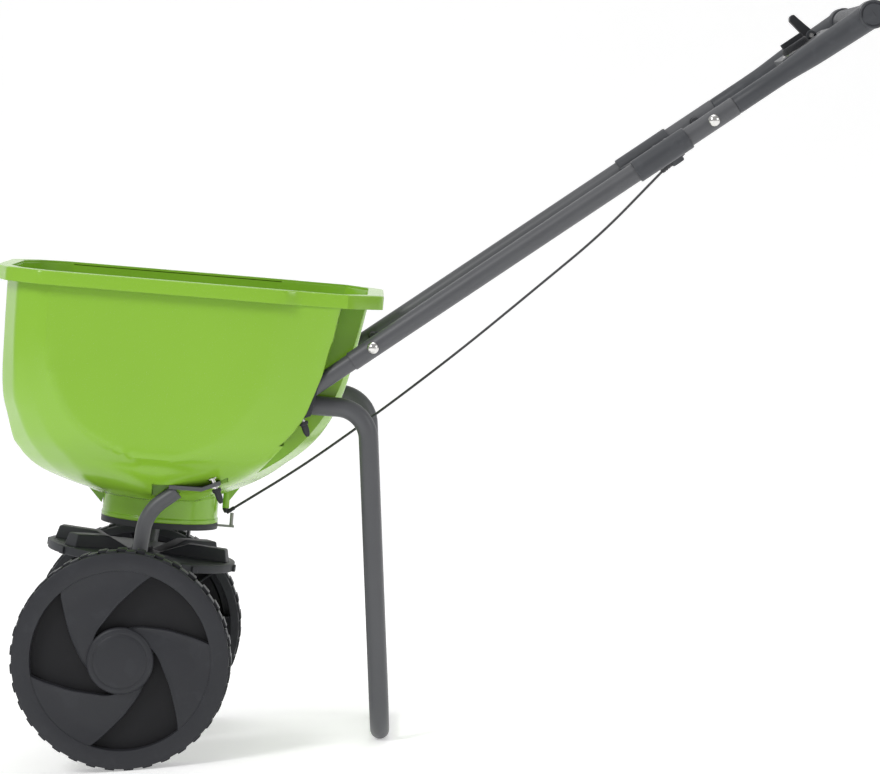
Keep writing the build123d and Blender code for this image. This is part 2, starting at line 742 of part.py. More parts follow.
def arm_body(side, grow):
    """The turned part of one arm, grown by an amount all over its bare length."""
    neck = arm_neck_radius + grow
    full = arm_full_radius + grow
    return turned_piece(seat_on(handle, 0, side * handle_half_spacing, 0, (1, 0, 0)),
                        [(0, upper_bolt_s - 30), (arm_radius, upper_bolt_s - 30),
                         (arm_radius, middle_end + gap), (neck, middle_end + gap),
                         (neck, arm_swell_s), (full, arm_full_s),
                         (arm_end_radius + grow, grip_s), (0, grip_s)],
                        rounds=[(neck, arm_swell_s, 30), (full, arm_full_s, 40)])


for name, side in SIDES.items():
    with BuildPart() as arm:
        add(arm_body(side, 0))
        with BuildSketch(side_plane(handle, side * (handle_half_spacing + grip_end_width / 2))):
            with Locations((grip_s, 0)):
                Circle(grip_end_diameter / 2)
        extrude(amount=side * grip_end_width)
        with BuildSketch(side_plane(handle, side * (handle_half_spacing - grip_end_width / 2))):
            with Locations((grip_s, 0)):
                Circle(9)
        extrude(amount=-side * 16, mode=Mode.SUBTRACT)
        with BuildSketch(side_plane(handle, side * (handle_half_spacing + 20))):
            with Locations((upper_bolt_s, 0)):
                Circle(bolt_hole_radius)
        extrude(amount=side * 40, mode=Mode.SUBTRACT)
    save(arm, f"upper_arm_{name}")

grip_inner_half = handle_half_spacing - grip_end_width / 2
with BuildPart() as grip_bar:
    with BuildSketch(side_plane(handle, grip_inner_half + 15)):
        with Locations((grip_s, 0)):
            Circle(8.8)
    extrude(amount=2 * (grip_inner_half + 15))
    with BuildSketch(side_plane(handle, grip_inner_half - gap)):
        with Locations((grip_s, 0)):
            Circle(grip_bar_diameter / 2)
    extrude(amount=2 * (grip_inner_half - gap))
save(grip_bar, "grip_bar")

with BuildPart() as handle_bolts:
    for side in SIDES.values():
        for place in handle_bolt_places:
            seat = seat_on(handle, place, side * (handle_half_spacing + middle_tube / 2), 0, (0, side, 0))
            add(turned_piece(seat, [(0, -middle_tube - 7), (bolt_radius, -middle_tube - 7), (bolt_radius, 0),
                                    (dome_diameter / 2, 0), (dome_diameter / 2, 1.4), (3.6, 5.0), (0, 5.4)],
                             rounds=[(3.6, 5.0, 4)]))
save(handle_bolts, "handle_bolts")

with BuildPart() as handle_nuts:
    for side in SIDES.values():
        for place in handle_bolt_places:
            seat = seat_on(handle, place, side * (handle_half_spacing - middle_tube / 2), 0, (0, -side, 0))
            add(turned_piece(seat, [(bolt_radius, 0), (6.5, 0), (6.5, 4), (4.5, 9), (0, 9.5), (0, 7.2),
                                    (bolt_radius, 7.2)]))
save(handle_nuts, "handle_nuts")

# ---------------------------------------------------------------- cross brace
brace_start = 404.0
brace_end = 484.0
brace_web_start = 446.0
brace_thickness = 4.0
sleeve_radius = middle_tube / 2 + run_clearance
brace_boss_s = 466.0
brace_drop = 20.0  # the cable passes this far under the plane of the handle
brace_boss_drop = 27.0
boot_rise = 12.2  # degrees between the cable and the handle at the brace
boot_radius = 6.0
boot_length = 26.0
boot = turned(handle, brace_boss_s, -brace_drop, boot_rise)

with BuildPart() as cross_brace:
    with BuildSketch(level_plane(handle, -brace_thickness / 2)):
        with BuildLine():
            Line((brace_end, -handle_half_spacing), (brace_end, handle_half_spacing))
            Line((brace_end, handle_half_spacing), (brace_start, handle_half_spacing))
            Line((brace_start, handle_half_spacing), (brace_start, handle_half_spacing - 14))
            ThreePointArc((brace_start, handle_half_spacing - 14), (brace_web_start, 0),
                          (brace_start, -handle_half_spacing + 14))
            Line((brace_start, -handle_half_spacing + 14), (brace_start, -handle_half_spacing))
            Line((brace_start, -handle_half_spacing), (brace_end, -handle_half_spacing))
        make_face()
        with Locations((brace_end - 18, 118), (brace_end - 18, -118)):
            Rectangle(14, 30, mode=Mode.SUBTRACT)
    extrude(amount=brace_thickness)
    with BuildSketch(cross_plane(handle, brace_start)):
        for side in SIDES.values():
            with Locations((side * handle_half_spacing, 0)):
                Circle(sleeve_radius + 2.5)
    extrude(amount=brace_end - brace_start)
    with BuildSketch(level_plane(handle, -brace_thickness / 2)):
        with Locations((brace_boss_s, 0)):
            Circle(9)
    extrude(amount=-brace_boss_drop)
    with BuildSketch(cross_plane(handle, brace_start)):
        for side in SIDES.values():
            with Locations((side * handle_half_spacing, 0)):
                Circle(sleeve_radius)
    extrude(amount=brace_end - brace_start, mode=Mode.SUBTRACT)
    with BuildSketch(cross_plane(boot, -40)):
        Circle(boot_radius + run_clearance)
    extrude(amount=60, mode=Mode.SUBTRACT)
save(cross_brace, "cross_brace")

# ---------------------------------------------------------------- stand
foot_z = stand_tube_diameter / 2
stand_top_x = 176.0


def ground_point(x, z, y=0.0):
    """World position of a point given in the hopper's frame."""
    return body.from_local_coords((x, y, z))


top_end = ground_point(stand_top_x, stand_top_z)
stand_corner_x = 337.0
stand_corner_z = top_end.Z - (stand_corner_x - top_end.X) * tan(lean)


def stand_points(side):
    """Top end, upper corner and foot corner of one leg."""
    y = side * stand_half_spacing
    return [(top_end.X, y, top_end.Z), (stand_corner_x, y, stand_corner_z), (stand_foot_x, y, foot_z)]


with BuildPart() as stand:
    with BuildLine() as route:
        FilletPolyline(*stand_points(-1), *reversed(stand_points(1)), radius=stand_bend)
    with BuildSketch(Plane(origin=route.line @ 0, z_dir=route.line % 0)):
        Circle(stand_tube_diameter / 2)
        Circle(stand_tube_diameter / 2 - tube_wall, mode=Mode.SUBTRACT)
    sweep(path=route.line)
save(stand, "stand")

# ---------------------------------------------------------------- sockets that hold the tubes to the hopper
socket_tilt = 23.0  # the underside of the sockets, and so the bolts, lean by this much
socket_bolt_frame = turned(body, 205, 324, socket_tilt)
socket_inner = pocket_inner_y + gap
socket_outer = pocket_outer_y - gap
socket_bolt_y = handle_half_spacing + 4
socket_floor = 8.0
head_room = 6.0

for name, side in SIDES.items():
    with BuildPart() as socket:
        with BuildSketch(side_plane(body, side * socket_inner)):
            with BuildLine():
                Polyline((169, 322), (186, 316), (216, 328.7), (222, 364), (225, 380), (192, 386), (175, 344),
                         (169, 330), close=True)
            make_face()
        extrude(amount=-side * (socket_outer - socket_inner))
        with BuildSketch(cross_plane(handle, lower_start_s)):
            with Locations((side * handle_half_spacing, 0)):
                Circle(lower_tube / 2 + run_clearance)
        extrude(amount=90, mode=Mode.SUBTRACT)
        with BuildSketch(cross_plane(body, stand_top_x)):
            with Locations((side * stand_half_spacing, stand_top_z)):
                Circle(stand_tube_diameter / 2 + run_clearance)
        extrude(amount=90, mode=Mode.SUBTRACT)
        with BuildSketch(level_plane(socket_bolt_frame, socket_floor)):
            with Locations((12, side * socket_bolt_y)):
                Rectangle(40, 15)
        extrude(amount=head_room, mode=Mode.SUBTRACT)
        with BuildSketch(level_plane(socket_bolt_frame, -10)):
            with Locations((0, side * socket_bolt_y)):
                Circle(bolt_hole_radius)
        extrude(amount=10 + socket_floor, mode=Mode.SUBTRACT)
    save(socket, f"frame_socket_{name}")

with BuildPart() as socket_bolts:
    for side in SIDES.values():
        add(plain_bolt(seat_on(socket_bolt_frame, 0, side * socket_bolt_y, socket_floor, (0, 0, 1)),
                       socket_floor + nut_drop + cap_thread - 1))
save(socket_bolts, "socket_bolts")

with BuildPart() as socket_cap_nuts:
    for side in SIDES.values():
        add(turned_piece(seat_on(socket_bolt_frame, 0, side * socket_bolt_y, -nut_drop - 1.5, (0, 0, -1)),
                         cap_outline))
save(socket_cap_nuts, "socket_cap_nuts")

# ---------------------------------------------------------------- console with dial and gate lever
console_half_width = 62.0
console_start = 648.0
console_end = 726.0
console_bottom = -9.0
console_top = 11.0
wing_bottom = -3.0
wing_top = 3.0
dial_s = 676.0
dial_radius = 19.0
lever_s = 706.0
lever_y = 34.0
lever_half_width = 9.0
lever_pin_radius = 3.0

with BuildPart() as console_housing:
    with BuildSketch(level_plane(handle, console_bottom)):
        with Locations(((console_start + console_end) / 2, 0)):
            RectangleRounded(console_end - console_start, 2 * console_half_width, 10)
    extrude(amount=console_top - console_bottom)
    with BuildSketch(level_plane(handle, console_bottom)):
        with Locations(((console_start + console_end) / 2, 0)):
            RectangleRounded(console_end - console_start - 6, 2 * console_half_width - 6, 8)
    extrude(amount=console_top - console_bottom - 3, mode=Mode.SUBTRACT)
    for side in SIDES.values():
        inner = console_half_width - 1
        with BuildSketch(level_plane(handle, wing_bottom)):
            with BuildLine():
                Polyline((console_start + 4, side * inner), (console_end - 4, side * inner),
                         (console_end + 14, side * (handle_half_spacing - 8)),
                         (console_start + 34, side * (handle_half_spacing - 8)), close=True)
            make_face()
        extrude(amount=wing_top - wing_bottom)
        add(arm_body(side, gap), mode=Mode.SUBTRACT)
    with BuildSketch(level_plane(handle, console_top - 4)):
        with Locations((dial_s, -20)):
            Circle(4 + run_clearance)
        with Locations((lever_s, lever_y)):
            Rectangle(28, 2 * (lever_half_width + 1))
    extrude(amount=8, mode=Mode.SUBTRACT)
    with BuildSketch(cross_plane(handle, console_start - 5)):
        Circle(cable_diameter / 2 + run_clearance)
    extrude(amount=20, mode=Mode.SUBTRACT)
    for side in (-1, 1):
        with BuildSketch(side_plane(handle, lever_y + side * (lever_half_width + 1))):
            with Locations((lever_s, console_top + 3)):
                Circle(7)
                Circle(lever_pin_radius + run_clearance, mode=Mode.SUBTRACT)
        extrude(amount=-side * 4)
save(console_housing, "console_housing")

with BuildPart() as rate_dial:
    with BuildSketch(level_plane(handle, console_top + gap)):
        with Locations((dial_s, -20)):
            Circle(dial_radius)
    extrude(amount=9)
    with BuildSketch(level_plane(handle, console_top - 8)):
        with Locations((dial_s, -20)):
            Circle(4)
    extrude(amount=12)
    with BuildSketch(level_plane(handle, console_top + 9)):
        with Locations((dial_s, -20)):
            RectangleRounded(2 * dial_radius - 6, 7, 3)
    extrude(amount=7)
save(rate_dial, "rate_dial")

lever_pivot_z = console_top + 3
with BuildPart() as gate_lever:
    with BuildSketch(side_plane(handle, lever_y + lever_half_width)):
        with Locations((lever_s, lever_pivot_z)):
            Circle(6.5)
        with BuildLine():
            Polyline((lever_s - 5, lever_pivot_z), (lever_s - 13, lever_pivot_z + 34),
                     (lever_s - 4, lever_pivot_z + 37), (lever_s + 5, lever_pivot_z), close=True)
        make_face()
    extrude(amount=2 * lever_half_width)
    with BuildSketch(side_plane(handle, lever_y + lever_half_width)):
        with Locations((lever_s, lever_pivot_z)):
            Circle(lever_pin_radius + run_clearance)
    extrude(amount=2 * lever_half_width, mode=Mode.SUBTRACT)
save(gate_lever, "gate_lever")

with BuildPart() as lever_pin:
    with BuildSketch(side_plane(handle, lever_y + lever_half_width + 6)):
        with Locations((lever_s, lever_pivot_z)):
            Circle(lever_pin_radius)
    extrude(amount=2 * lever_half_width + 12)
save(lever_pin, "lever_pin")

# ---------------------------------------------------------------- control cable
cable_radius = cable_diameter / 2


def handle_point(along, up):
    """A point of the handle's frame, written in the hopper's frame."""
    point = body.to_local_coords(handle.from_local_coords((along, 0, up)))
    return (point.X, point.Z)


boot_reach = brace_drop / tan(radians(boot_rise))
boot_lead = 135.0
cable_points = [cable_start, (207, 248), (300, 326), (400, 416), (500, 513),
                handle_point(brace_boss_s - boot_lead, -brace_drop - boot_lead * tan(radians(boot_rise))),
                handle_point(brace_boss_s + boot_reach, 0), handle_point(console_start + 2, 0)]


def route_radii(points):
    """Largest tangent arc at each inner corner: 0.45 of the shorter run over tan(turn / 2)."""
    radii = []
    for before, here, after in zip(points, points[1:], points[2:]):
        first = Vector(here[0] - before[0], here[1] - before[1])
        second = Vector(after[0] - here[0], after[1] - here[1])
        turn = radians(first.get_angle(second))
        radii.append(0.45 * min(first.length, second.length) / tan(turn / 2))
    return radii


cable_radii = route_radii(cable_points)
print("cable bend radii", [round(radius) for radius in cable_radii])
with BuildPart() as cable:
    with BuildLine(side_plane(body, 0)) as cable_route:
        FilletPolyline(*cable_points, radius=cable_radii)
    with BuildSketch(Plane(origin=cable_route.line @ 0, z_dir=cable_route.line % 0)):
        Circle(cable_radius)
    sweep(path=cable_route.line)
cable_length = sum(edge.length for edge in cable_route.edges())
print("cable length", round(cable_length), "volume ratio",
      round(cable.part.volume / (pi * cable_radius ** 2 * cable_length), 4))
save(cable, "cable")

with BuildPart() as cable_boot:
    add(turned_piece(seat_on(boot, 0, 0, 0, (-1, 0, 0)),
                     [(cable_radius + run_clearance, -12), (boot_radius, -12), (boot_radius, 4),
                      (3.4, boot_length),
                      (cable_radius + run_clearance, boot_length)]))
save(cable_boot, "cable_boot")
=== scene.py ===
"""Broadcast garden spreader: the finished visual model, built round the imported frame."""

import json
import logging
import math
from dataclasses import dataclass, field
from enum import Enum
from typing import Sequence, Union

import bmesh
import bpy
from mathutils import Matrix, Vector

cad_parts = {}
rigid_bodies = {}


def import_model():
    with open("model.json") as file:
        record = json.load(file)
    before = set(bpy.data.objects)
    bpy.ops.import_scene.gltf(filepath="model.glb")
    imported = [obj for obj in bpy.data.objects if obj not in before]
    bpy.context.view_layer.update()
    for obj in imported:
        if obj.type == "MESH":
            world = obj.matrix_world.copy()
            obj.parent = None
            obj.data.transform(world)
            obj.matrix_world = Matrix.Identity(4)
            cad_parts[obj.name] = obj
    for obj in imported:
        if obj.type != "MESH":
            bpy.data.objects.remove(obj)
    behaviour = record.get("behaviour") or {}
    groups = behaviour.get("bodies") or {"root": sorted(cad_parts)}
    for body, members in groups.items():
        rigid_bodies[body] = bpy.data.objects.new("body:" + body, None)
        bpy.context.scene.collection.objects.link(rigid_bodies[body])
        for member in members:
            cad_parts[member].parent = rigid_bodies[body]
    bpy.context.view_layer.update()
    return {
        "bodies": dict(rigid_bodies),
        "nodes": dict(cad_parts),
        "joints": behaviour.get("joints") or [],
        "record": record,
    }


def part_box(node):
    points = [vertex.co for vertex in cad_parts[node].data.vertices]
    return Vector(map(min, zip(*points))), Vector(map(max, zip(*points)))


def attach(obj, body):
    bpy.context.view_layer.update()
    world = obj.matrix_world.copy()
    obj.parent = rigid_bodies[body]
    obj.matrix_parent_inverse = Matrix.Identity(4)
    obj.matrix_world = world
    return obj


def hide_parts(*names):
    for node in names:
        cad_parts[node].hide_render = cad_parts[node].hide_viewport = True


LOG = logging.getLogger("spreader")
MM = 0.001
AXIS_RADIUS = 1e-5  # a turned outline comes this near its axis, so that its pole closes on merging
MERGE = 2e-6  # points nearer than this, in metres, are one
Point2 = tuple[float, float]
X_AXIS = Vector((1, 0, 0))
Y_AXIS = Vector((0, 1, 0))
Z_AXIS = Vector((0, 0, 1))


class Body(Enum):
    """The rigid bodies that pieces ride on."""

    FRAME = "frame"
    DRIVE = "drive_axle"
    FREE = "free_wheel"
    SPINNER = "spinner_body"
    GATE = "gate"
    LEVER = "lever"
    DIAL = "dial"


class Side(Enum):
    """The operator's left and right, as signs of Y."""

    LEFT = -1
    RIGHT = 1

    @property
    def word(self) -> str:
        """The side's name in lower case, as node names use it."""
        return self.name.lower()


# ------------------------------------------------------------------ local frames
class Seat:
    """A local frame. Sizes go in as millimetres, and world points come out in metres."""

    def __init__(self, origin: Vector, x: Vector, z: Vector) -> None:
        """Keep the frame.

        Args:
            origin: world position in metres.
            x: direction of the frame's x axis.
            z: direction of the frame's z axis.
        """
        self.origin = origin.copy()
        self.x = x.normalized()
        self.z = z.normalized()
        self.y = self.z.cross(self.x).normalized()

    def at(self, x: float, y: float, z: float) -> Vector:
        """World point of local coordinates in millimetres."""
        return self.origin + (self.x * x + self.y * y + self.z * z) * MM

    def raised(self, x: float, z: float, degrees: float) -> "Seat":
        """A frame at (x, 0, z) whose x axis is raised by an angle.

        Args:
            x: place along this frame's x, in millimetres.
            z: place along this frame's z, in millimetres.
            degrees: how far the new x axis turns towards this frame's z.

        Returns:
            The new frame.
        """
        a = math.radians(degrees)
        along = self.x * math.cos(a) + self.z * math.sin(a)
        up = self.z * math.cos(a) - self.x * math.sin(a)
        return Seat(self.at(x, 0, z), along, up)

    def facing(self, x: float, y: float, z: float, normal: Vector, across: Vector) -> "Seat":
        """A frame at a local point with a given world z direction and x direction."""
        return Seat(self.at(x, y, z), across, normal)


@dataclass
class Layout:
    """Where the main frames of the spreader are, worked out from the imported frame."""

    lean: float = 9.0
    shaft_tilt: float = 3.0
    handle_angle: float = 38.5
    handle_bolt: Point2 = (288.0, 422.0)
    hopper: Seat = field(init=False)
    shaft: Seat = field(init=False)
    handle: Seat = field(init=False)
    axle: Vector = field(init=False)

    def __post_init__(self) -> None:
        """Place the frames from the axle's own box."""
        low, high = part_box("axle")
        self.axle = (low + high) / 2
        self.hopper = Seat(self.axle, X_AXIS, Z_AXIS).raised(0, 0, -self.lean)
        self.shaft = self.hopper.raised(0, 0, -self.shaft_tilt)
        self.handle = self.hopper.raised(*self.handle_bolt, self.handle_angle)

    def wheel(self, side: Side) -> Seat:
        """A wheel's frame: its origin in the outer face, its z axis pointing outwards."""
        low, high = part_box(f"wheel_{side.word}")
        face = high.y if side is Side.RIGHT else low.y
        return Seat(Vector((self.axle.x, face, self.axle.z)), X_AXIS * -side.value, Y_AXIS * side.value)


# ------------------------------------------------------------------ shader maths
Value = Union["Link", float]


class Link:
    """A shader value. Arithmetic on it adds Math nodes to its tree."""

    def __init__(self, graph: "Graph", socket: bpy.types.NodeSocket) -> None:
        """Wrap an output socket of a graph."""
        self.graph = graph
        self.socket = socket

    def _math(self, operation: str, first: Value, second: Value = 0.0) -> "Link":
        """Add one Math node and return its value."""
        return self.graph.node("ShaderNodeMath", {"operation": operation}, {0: first, 1: second})

    def __add__(self, other: Value) -> "Link":
        """This value plus another."""
        return self._math("ADD", self, other)

    __radd__ = __add__

    def __sub__(self, other: Value) -> "Link":
        """This value minus another."""
        return self._math("SUBTRACT", self, other)

    def __rsub__(self, other: Value) -> "Link":
        """Another value minus this one."""
        return self._math("SUBTRACT", other, self)

    def __mul__(self, other: Value) -> "Link":
        """This value times another."""
        return self._math("MULTIPLY", self, other)

    __rmul__ = __mul__

    def above(self, edge: float, width: float) -> "Link":
        """0 below an edge value and 1 above it, with a soft step of a given width."""
        settings = {"interpolation_type": "SMOOTHSTEP"}
        sockets = {0: self, 1: edge - width / 2, 2: edge + width / 2}
        return self.graph.node("ShaderNodeMapRange", settings, sockets)


class Graph:
    """The node tree of one material, with a Principled shader at its end."""

    def __init__(self, name: str) -> None:
        """Make an empty material with its shader and output."""
        self.material = bpy.data.materials.new(name)
        self.material.use_nodes = True
        self.tree = self.material.node_tree
        self.tree.nodes.clear()
        self.shader = self.tree.nodes.new("ShaderNodeBsdfPrincipled")
        output = self.tree.nodes.new("ShaderNodeOutputMaterial")
        self.tree.links.new(self.shader.outputs[0], output.inputs["Surface"])
        self.place = self.node("ShaderNodeTexCoord", output="Object")

    def node(
        self,
        kind: str,
        settings: dict[str, object] | None = None,
        sockets: dict[str | int, object] | None = None,
        output: str | int = 0,
    ) -> Link:
        """Add a node.

        Args:
            kind: the node's type.
            settings: attributes that are set first, such as a Math node's operation.
            sockets: values or links for its inputs, by name or number.
            output: the output to return.

        Returns:
            The chosen output.
        """
        made = self.tree.nodes.new(kind)
        for key, value in (settings or {}).items():
            setattr(made, key, value)
        for key, value in (sockets or {}).items():
            self.plug(made.inputs[key], value)
        return Link(self, made.outputs[output])

    def plug(self, socket: bpy.types.NodeSocket, value: object) -> None:
        """Link a value to an input, or set the input to it."""
        if isinstance(value, Link):
            self.tree.links.new(value.socket, socket)
        elif isinstance(value, tuple) and len(value) == 3 and socket.type == "RGBA":
            socket.default_value = (*value, 1.0)
        else:
            socket.default_value = value

    def noise(
        self, scale: float, detail: float = 2.0, roughness: float = 0.5, stretch: tuple = (1, 1, 1)
    ) -> Link:
        """Noise from 0 to 1 over the piece.

        Args:
            scale: how many patches a metre holds.
            detail: how many finer layers are added.
            roughness: how strong the finer layers are.
            stretch: scale of the pattern along each axis.

        Returns:
            The noise.
        """
        place = self.place
        if stretch != (1, 1, 1):
            place = self.node("ShaderNodeMapping", {}, {"Vector": place, "Scale": stretch})
        sockets = {"Vector": place, "Scale": scale, "Detail": detail, "Roughness": roughness}
        return self.node("ShaderNodeTexNoise", {"noise_dimensions": "3D"}, sockets)

    def blend(self, factor: Value, first: tuple | Link, second: tuple | Link) -> Link:
        """A colour between two colours."""
        return self.node("ShaderNodeMix", {"data_type": "RGBA"}, {0: factor, 6: first, 7: second}, output=2)

    def bump(self, height: Link, distance: float, strength: float = 1.0, edge: float = 0.0) -> Link:
        """A normal from a height.

        Args:
            height: the height, from 0 to 1.
            distance: how far the full height stands out, in metres.
            strength: share of the bump that is used.
            edge: radius in metres to which edges look rounded, 0 for none.

        Returns:
            The normal.
        """
        sockets = {"Height": height, "Distance": distance, "Strength": strength}
        if edge:
            sockets["Normal"] = self.node("ShaderNodeBevel", {"samples": 4}, {"Radius": edge})
        return self.node("ShaderNodeBump", {}, sockets)

    def finish(self, **inputs: object) -> bpy.types.Material:
        """Plug the shader's inputs, named with underscores for spaces, and return the material."""
        for key, value in inputs.items():
            self.plug(self.shader.inputs[key.replace("_", " ")], value)
        return self.material


def shade(colour: tuple, factor: float) -> tuple:
    """A colour made lighter or darker by a factor."""
    return tuple(min(1.0, c * factor) for c in colour)


@dataclass(frozen=True)
class GlossPlastic:
    """Glossy moulded plastic, slightly uneven, with faint flow marks and dust."""

    name: str
    slot: str
    colour: tuple[float, float, float]
    roughness: float = 0.2

    def material(self) -> bpy.types.Material:
        """Build the material."""
        g = Graph(self.name)
        cloud = g.noise(5.0, 3.0)
        flow = g.noise(16.0, 2.0, stretch=(1.0, 1.0, 0.25))
        speck = g.noise(900.0, 1.0)
        colour = g.blend(cloud, shade(self.colour, 0.95), shade(self.colour, 1.06))
        dust = speck.above(0.71, 0.06) * 0.12
        colour = g.blend(dust, colour, (0.62, 0.66, 0.5))
        rough = self.roughness + (cloud - 0.5) * 0.06 + (flow - 0.5) * 0.08
        wave = g.bump(flow * 0.5 + cloud, 0.0006, edge=0.0016)
        return g.finish(Base_Color=colour, Roughness=rough, Normal=wave, IOR=1.5)


@dataclass(frozen=True)
class GrainPlastic:
    """Matte moulded plastic with a fine spark-eroded grain and mottled flow marks."""

    name: str
    slot: str
    colour: tuple[float, float, float]
    roughness: float = 0.5
    mottle: float = 0.25
    grain: float = 0.00006

    def material(self) -> bpy.types.Material:
        """Build the material."""
        g = Graph(self.name)
        cloud = g.noise(14.0, 4.0, 0.6)
        patch = g.noise(45.0, 3.0)
        fine = g.noise(1500.0, 2.0)
        tone = (cloud * 0.7 + patch * 0.3)
        colour = g.blend(tone, shade(self.colour, 1 - self.mottle), shade(self.colour, 1 + self.mottle))
        rub = patch.above(0.62, 0.1) * 0.2
        colour = g.blend(rub, colour, shade(self.colour, 1.5))
        rough = self.roughness + (cloud - 0.5) * 0.18 + (fine - 0.5) * 0.1
        normal = g.bump(fine, self.grain, 0.8, edge=0.0007)
        return g.finish(Base_Color=colour, Roughness=rough, Normal=normal, IOR=1.48, Specular_IOR_Level=0.32)


@dataclass(frozen=True)
class PowderCoat:
    """Satin powder coat over steel, with orange peel and a few darker specks."""

    name: str
    slot: str
    colour: tuple[float, float, float]
    roughness: float = 0.42

    def material(self) -> bpy.types.Material:
        """Build the material."""
        g = Graph(self.name)
        peel = g.noise(700.0, 2.0)
        cloud = g.noise(22.0, 3.0)
        speck = g.noise(1600.0, 1.0).above(0.68, 0.05)
        colour = g.blend(cloud, shade(self.colour, 0.9), shade(self.colour, 1.1))
        colour = g.blend(speck * 0.35, colour, shade(self.colour, 0.55))
        rough = self.roughness + (cloud - 0.5) * 0.12 + speck * 0.1
        return g.finish(Base_Color=colour, Roughness=rough, Normal=g.bump(peel, 0.00009), IOR=1.5)


@dataclass(frozen=True)
class PlatedSteel:
    """Bright zinc plate with faint brushing and a little tarnish."""

    name: str
    slot: str
    colour: tuple[float, float, float] = (0.72, 0.71, 0.69)

    def material(self) -> bpy.types.Material:
        """Build the material."""
        g = Graph(self.name)
        cloud = g.noise(180.0, 3.0)
        brushed = g.noise(900.0, 2.0, stretch=(1.0, 1.0, 0.1))
        tarnish = cloud.above(0.6, 0.2) * 0.4
        colour = g.blend(tarnish, self.colour, shade(self.colour, 0.7))
        rough = 0.2 + (brushed - 0.5) * 0.2 + tarnish * 0.25
        return g.finish(Base_Color=colour, Roughness=rough, Metallic=1.0, Normal=g.bump(brushed, 0.00002))


@dataclass(frozen=True)
class Sheath:
    """Black extruded cable jacket with fine rings."""

    name: str
    slot: str
    colour: tuple[float, float, float] = (0.03, 0.03, 0.033)

    def material(self) -> bpy.types.Material:
        """Build the material."""
        g = Graph(self.name)
        cloud = g.noise(60.0, 2.0)
        rings = g.node("ShaderNodeTexWave", {"bands_direction": "X"}, {"Vector": g.place, "Scale": 500.0})
        colour = g.blend(cloud, shade(self.colour, 0.8), shade(self.colour, 1.5))
        rough = 0.38 + (cloud - 0.5) * 0.2
        return g.finish(Base_Color=colour, Roughness=rough, Normal=g.bump(rings, 0.00003, 0.5))


@dataclass(frozen=True)
class PaleFloor:
    """Plain pale studio floor."""

    name: str = "pale_floor"
    tone: float = 0.93
    glow: float = 0.4

    def material(self) -> bpy.types.Material:
        """Build the material."""
        g = Graph(self.name)
        cloud = g.noise(3.0, 2.0)
        colour = g.blend(cloud, (self.tone,) * 3, (self.tone * 0.99,) * 3)
        return g.finish(Base_Color=colour, Roughness=0.7, Emission_Color=colour, Emission_Strength=self.glow)


LIME = GlossPlastic("lime_shell", "hopper_plastic", (0.255, 0.50, 0.035))
DARK = GrainPlastic("dark_moulding", "dark_plastic", (0.032, 0.033, 0.037), 0.5)
WHEEL = GrainPlastic("wheel_moulding", "wheel_plastic", (0.028, 0.029, 0.034), 0.46, 0.16)
# The wheel plastic made about three times darker for the floors of the wheel's wells: painted shade in the
# recesses, not a different plastic.
PAINTED_WELL_SHADE = GrainPlastic("wheel_well", "wheel_plastic", (0.009, 0.009, 0.011), 0.6, 0.2)
DISC = GrainPlastic("disc_moulding", "spinner_plastic", (0.036, 0.038, 0.043), 0.5)
GRIP = GrainPlastic("grip_moulding", "grip_plastic", (0.062, 0.065, 0.072), 0.42, 0.12)
NYLON = GrainPlastic("gear_nylon", "gear_plastic", (0.32, 0.32, 0.31), 0.4, 0.06)
TUBE = PowderCoat("tube_coat", "tube_paint", (0.085, 0.087, 0.094))
ZINC = PlatedSteel("zinc_plate", "bolt_steel")
JACKET = Sheath("cable_jacket", "cable_jacket")
Finish = Union[GlossPlastic, GrainPlastic, PowderCoat, PlatedSteel, Sheath, PaleFloor]


class Palette:
    """Builds each finish's material once."""

    made: dict[str, bpy.types.Material] = {}

    @classmethod
    def of(cls, finish: Finish) -> bpy.types.Material:
        """The material of a finish."""
        if finish.name not in cls.made:
            cls.made[finish.name] = finish.material()
        return cls.made[finish.name]


# ------------------------------------------------------------------ outlines
def polar(radius: float, degrees: float) -> Point2:
    """A point from its radius and angle."""
    return radius * math.cos(math.radians(degrees)), radius * math.sin(math.radians(degrees))


def rounded(points: Sequence[Point2], radii: float | Sequence[float], steps: int = 6) -> list[Point2]:
    """A closed outline with its corners rounded.

    Args:
        points: the corners, in order.
        radii: one radius, or one for each corner.
        steps: straight pieces in each rounded corner.

    Returns:
        The outline's points.
    """
    out: list[Point2] = []
    count = len(points)
    for i in range(count):
        radius = radii if isinstance(radii, (int, float)) else radii[i]
        here = Vector(points[i])
        back = (Vector(points[i - 1]) - here)
        ahead = (Vector(points[(i + 1) % count]) - here)
        half = back.angle(ahead) / 2
        reach = min(radius / math.tan(half), 0.49 * back.length, 0.49 * ahead.length) if half < 1.56 else 0.0
        if reach < 1e-6 or radius == 0:
            out.append(tuple(here))
            continue
        start = here + back.normalized() * reach
        end = here + ahead.normalized() * reach
        for k in range(steps + 1):
            t = k / steps
            point = start * (1 - t) ** 2 + here * 2 * t * (1 - t) + end * t ** 2
            out.append((point.x, point.y))
    return out


def smooth_line(points: Sequence[Sequence[float]], count: int) -> list[Vector]:
    """Evenly spaced points on a smooth curve through given points.

    Args:
        points: what the curve passes through, in two or three dimensions.
        count: how many points to return.

    Returns:
        Points of the curve, ends included.
    """
    given = [Vector(p) for p in points]
    ends = [given[0] * 2 - given[1], *given, given[-1] * 2 - given[-2]]
    dense: list[Vector] = []
    for a, b, c, d in zip(ends, ends[1:], ends[2:], ends[3:]):
        for k in range(24):
            t = k / 24
            dense.append(0.5 * (2 * b + (c - a) * t + (2 * a - 5 * b + 4 * c - d) * t * t
                                + (3 * b - a - 3 * c + d) * t ** 3))
    dense.append(given[-1])
    return respaced(dense, count)


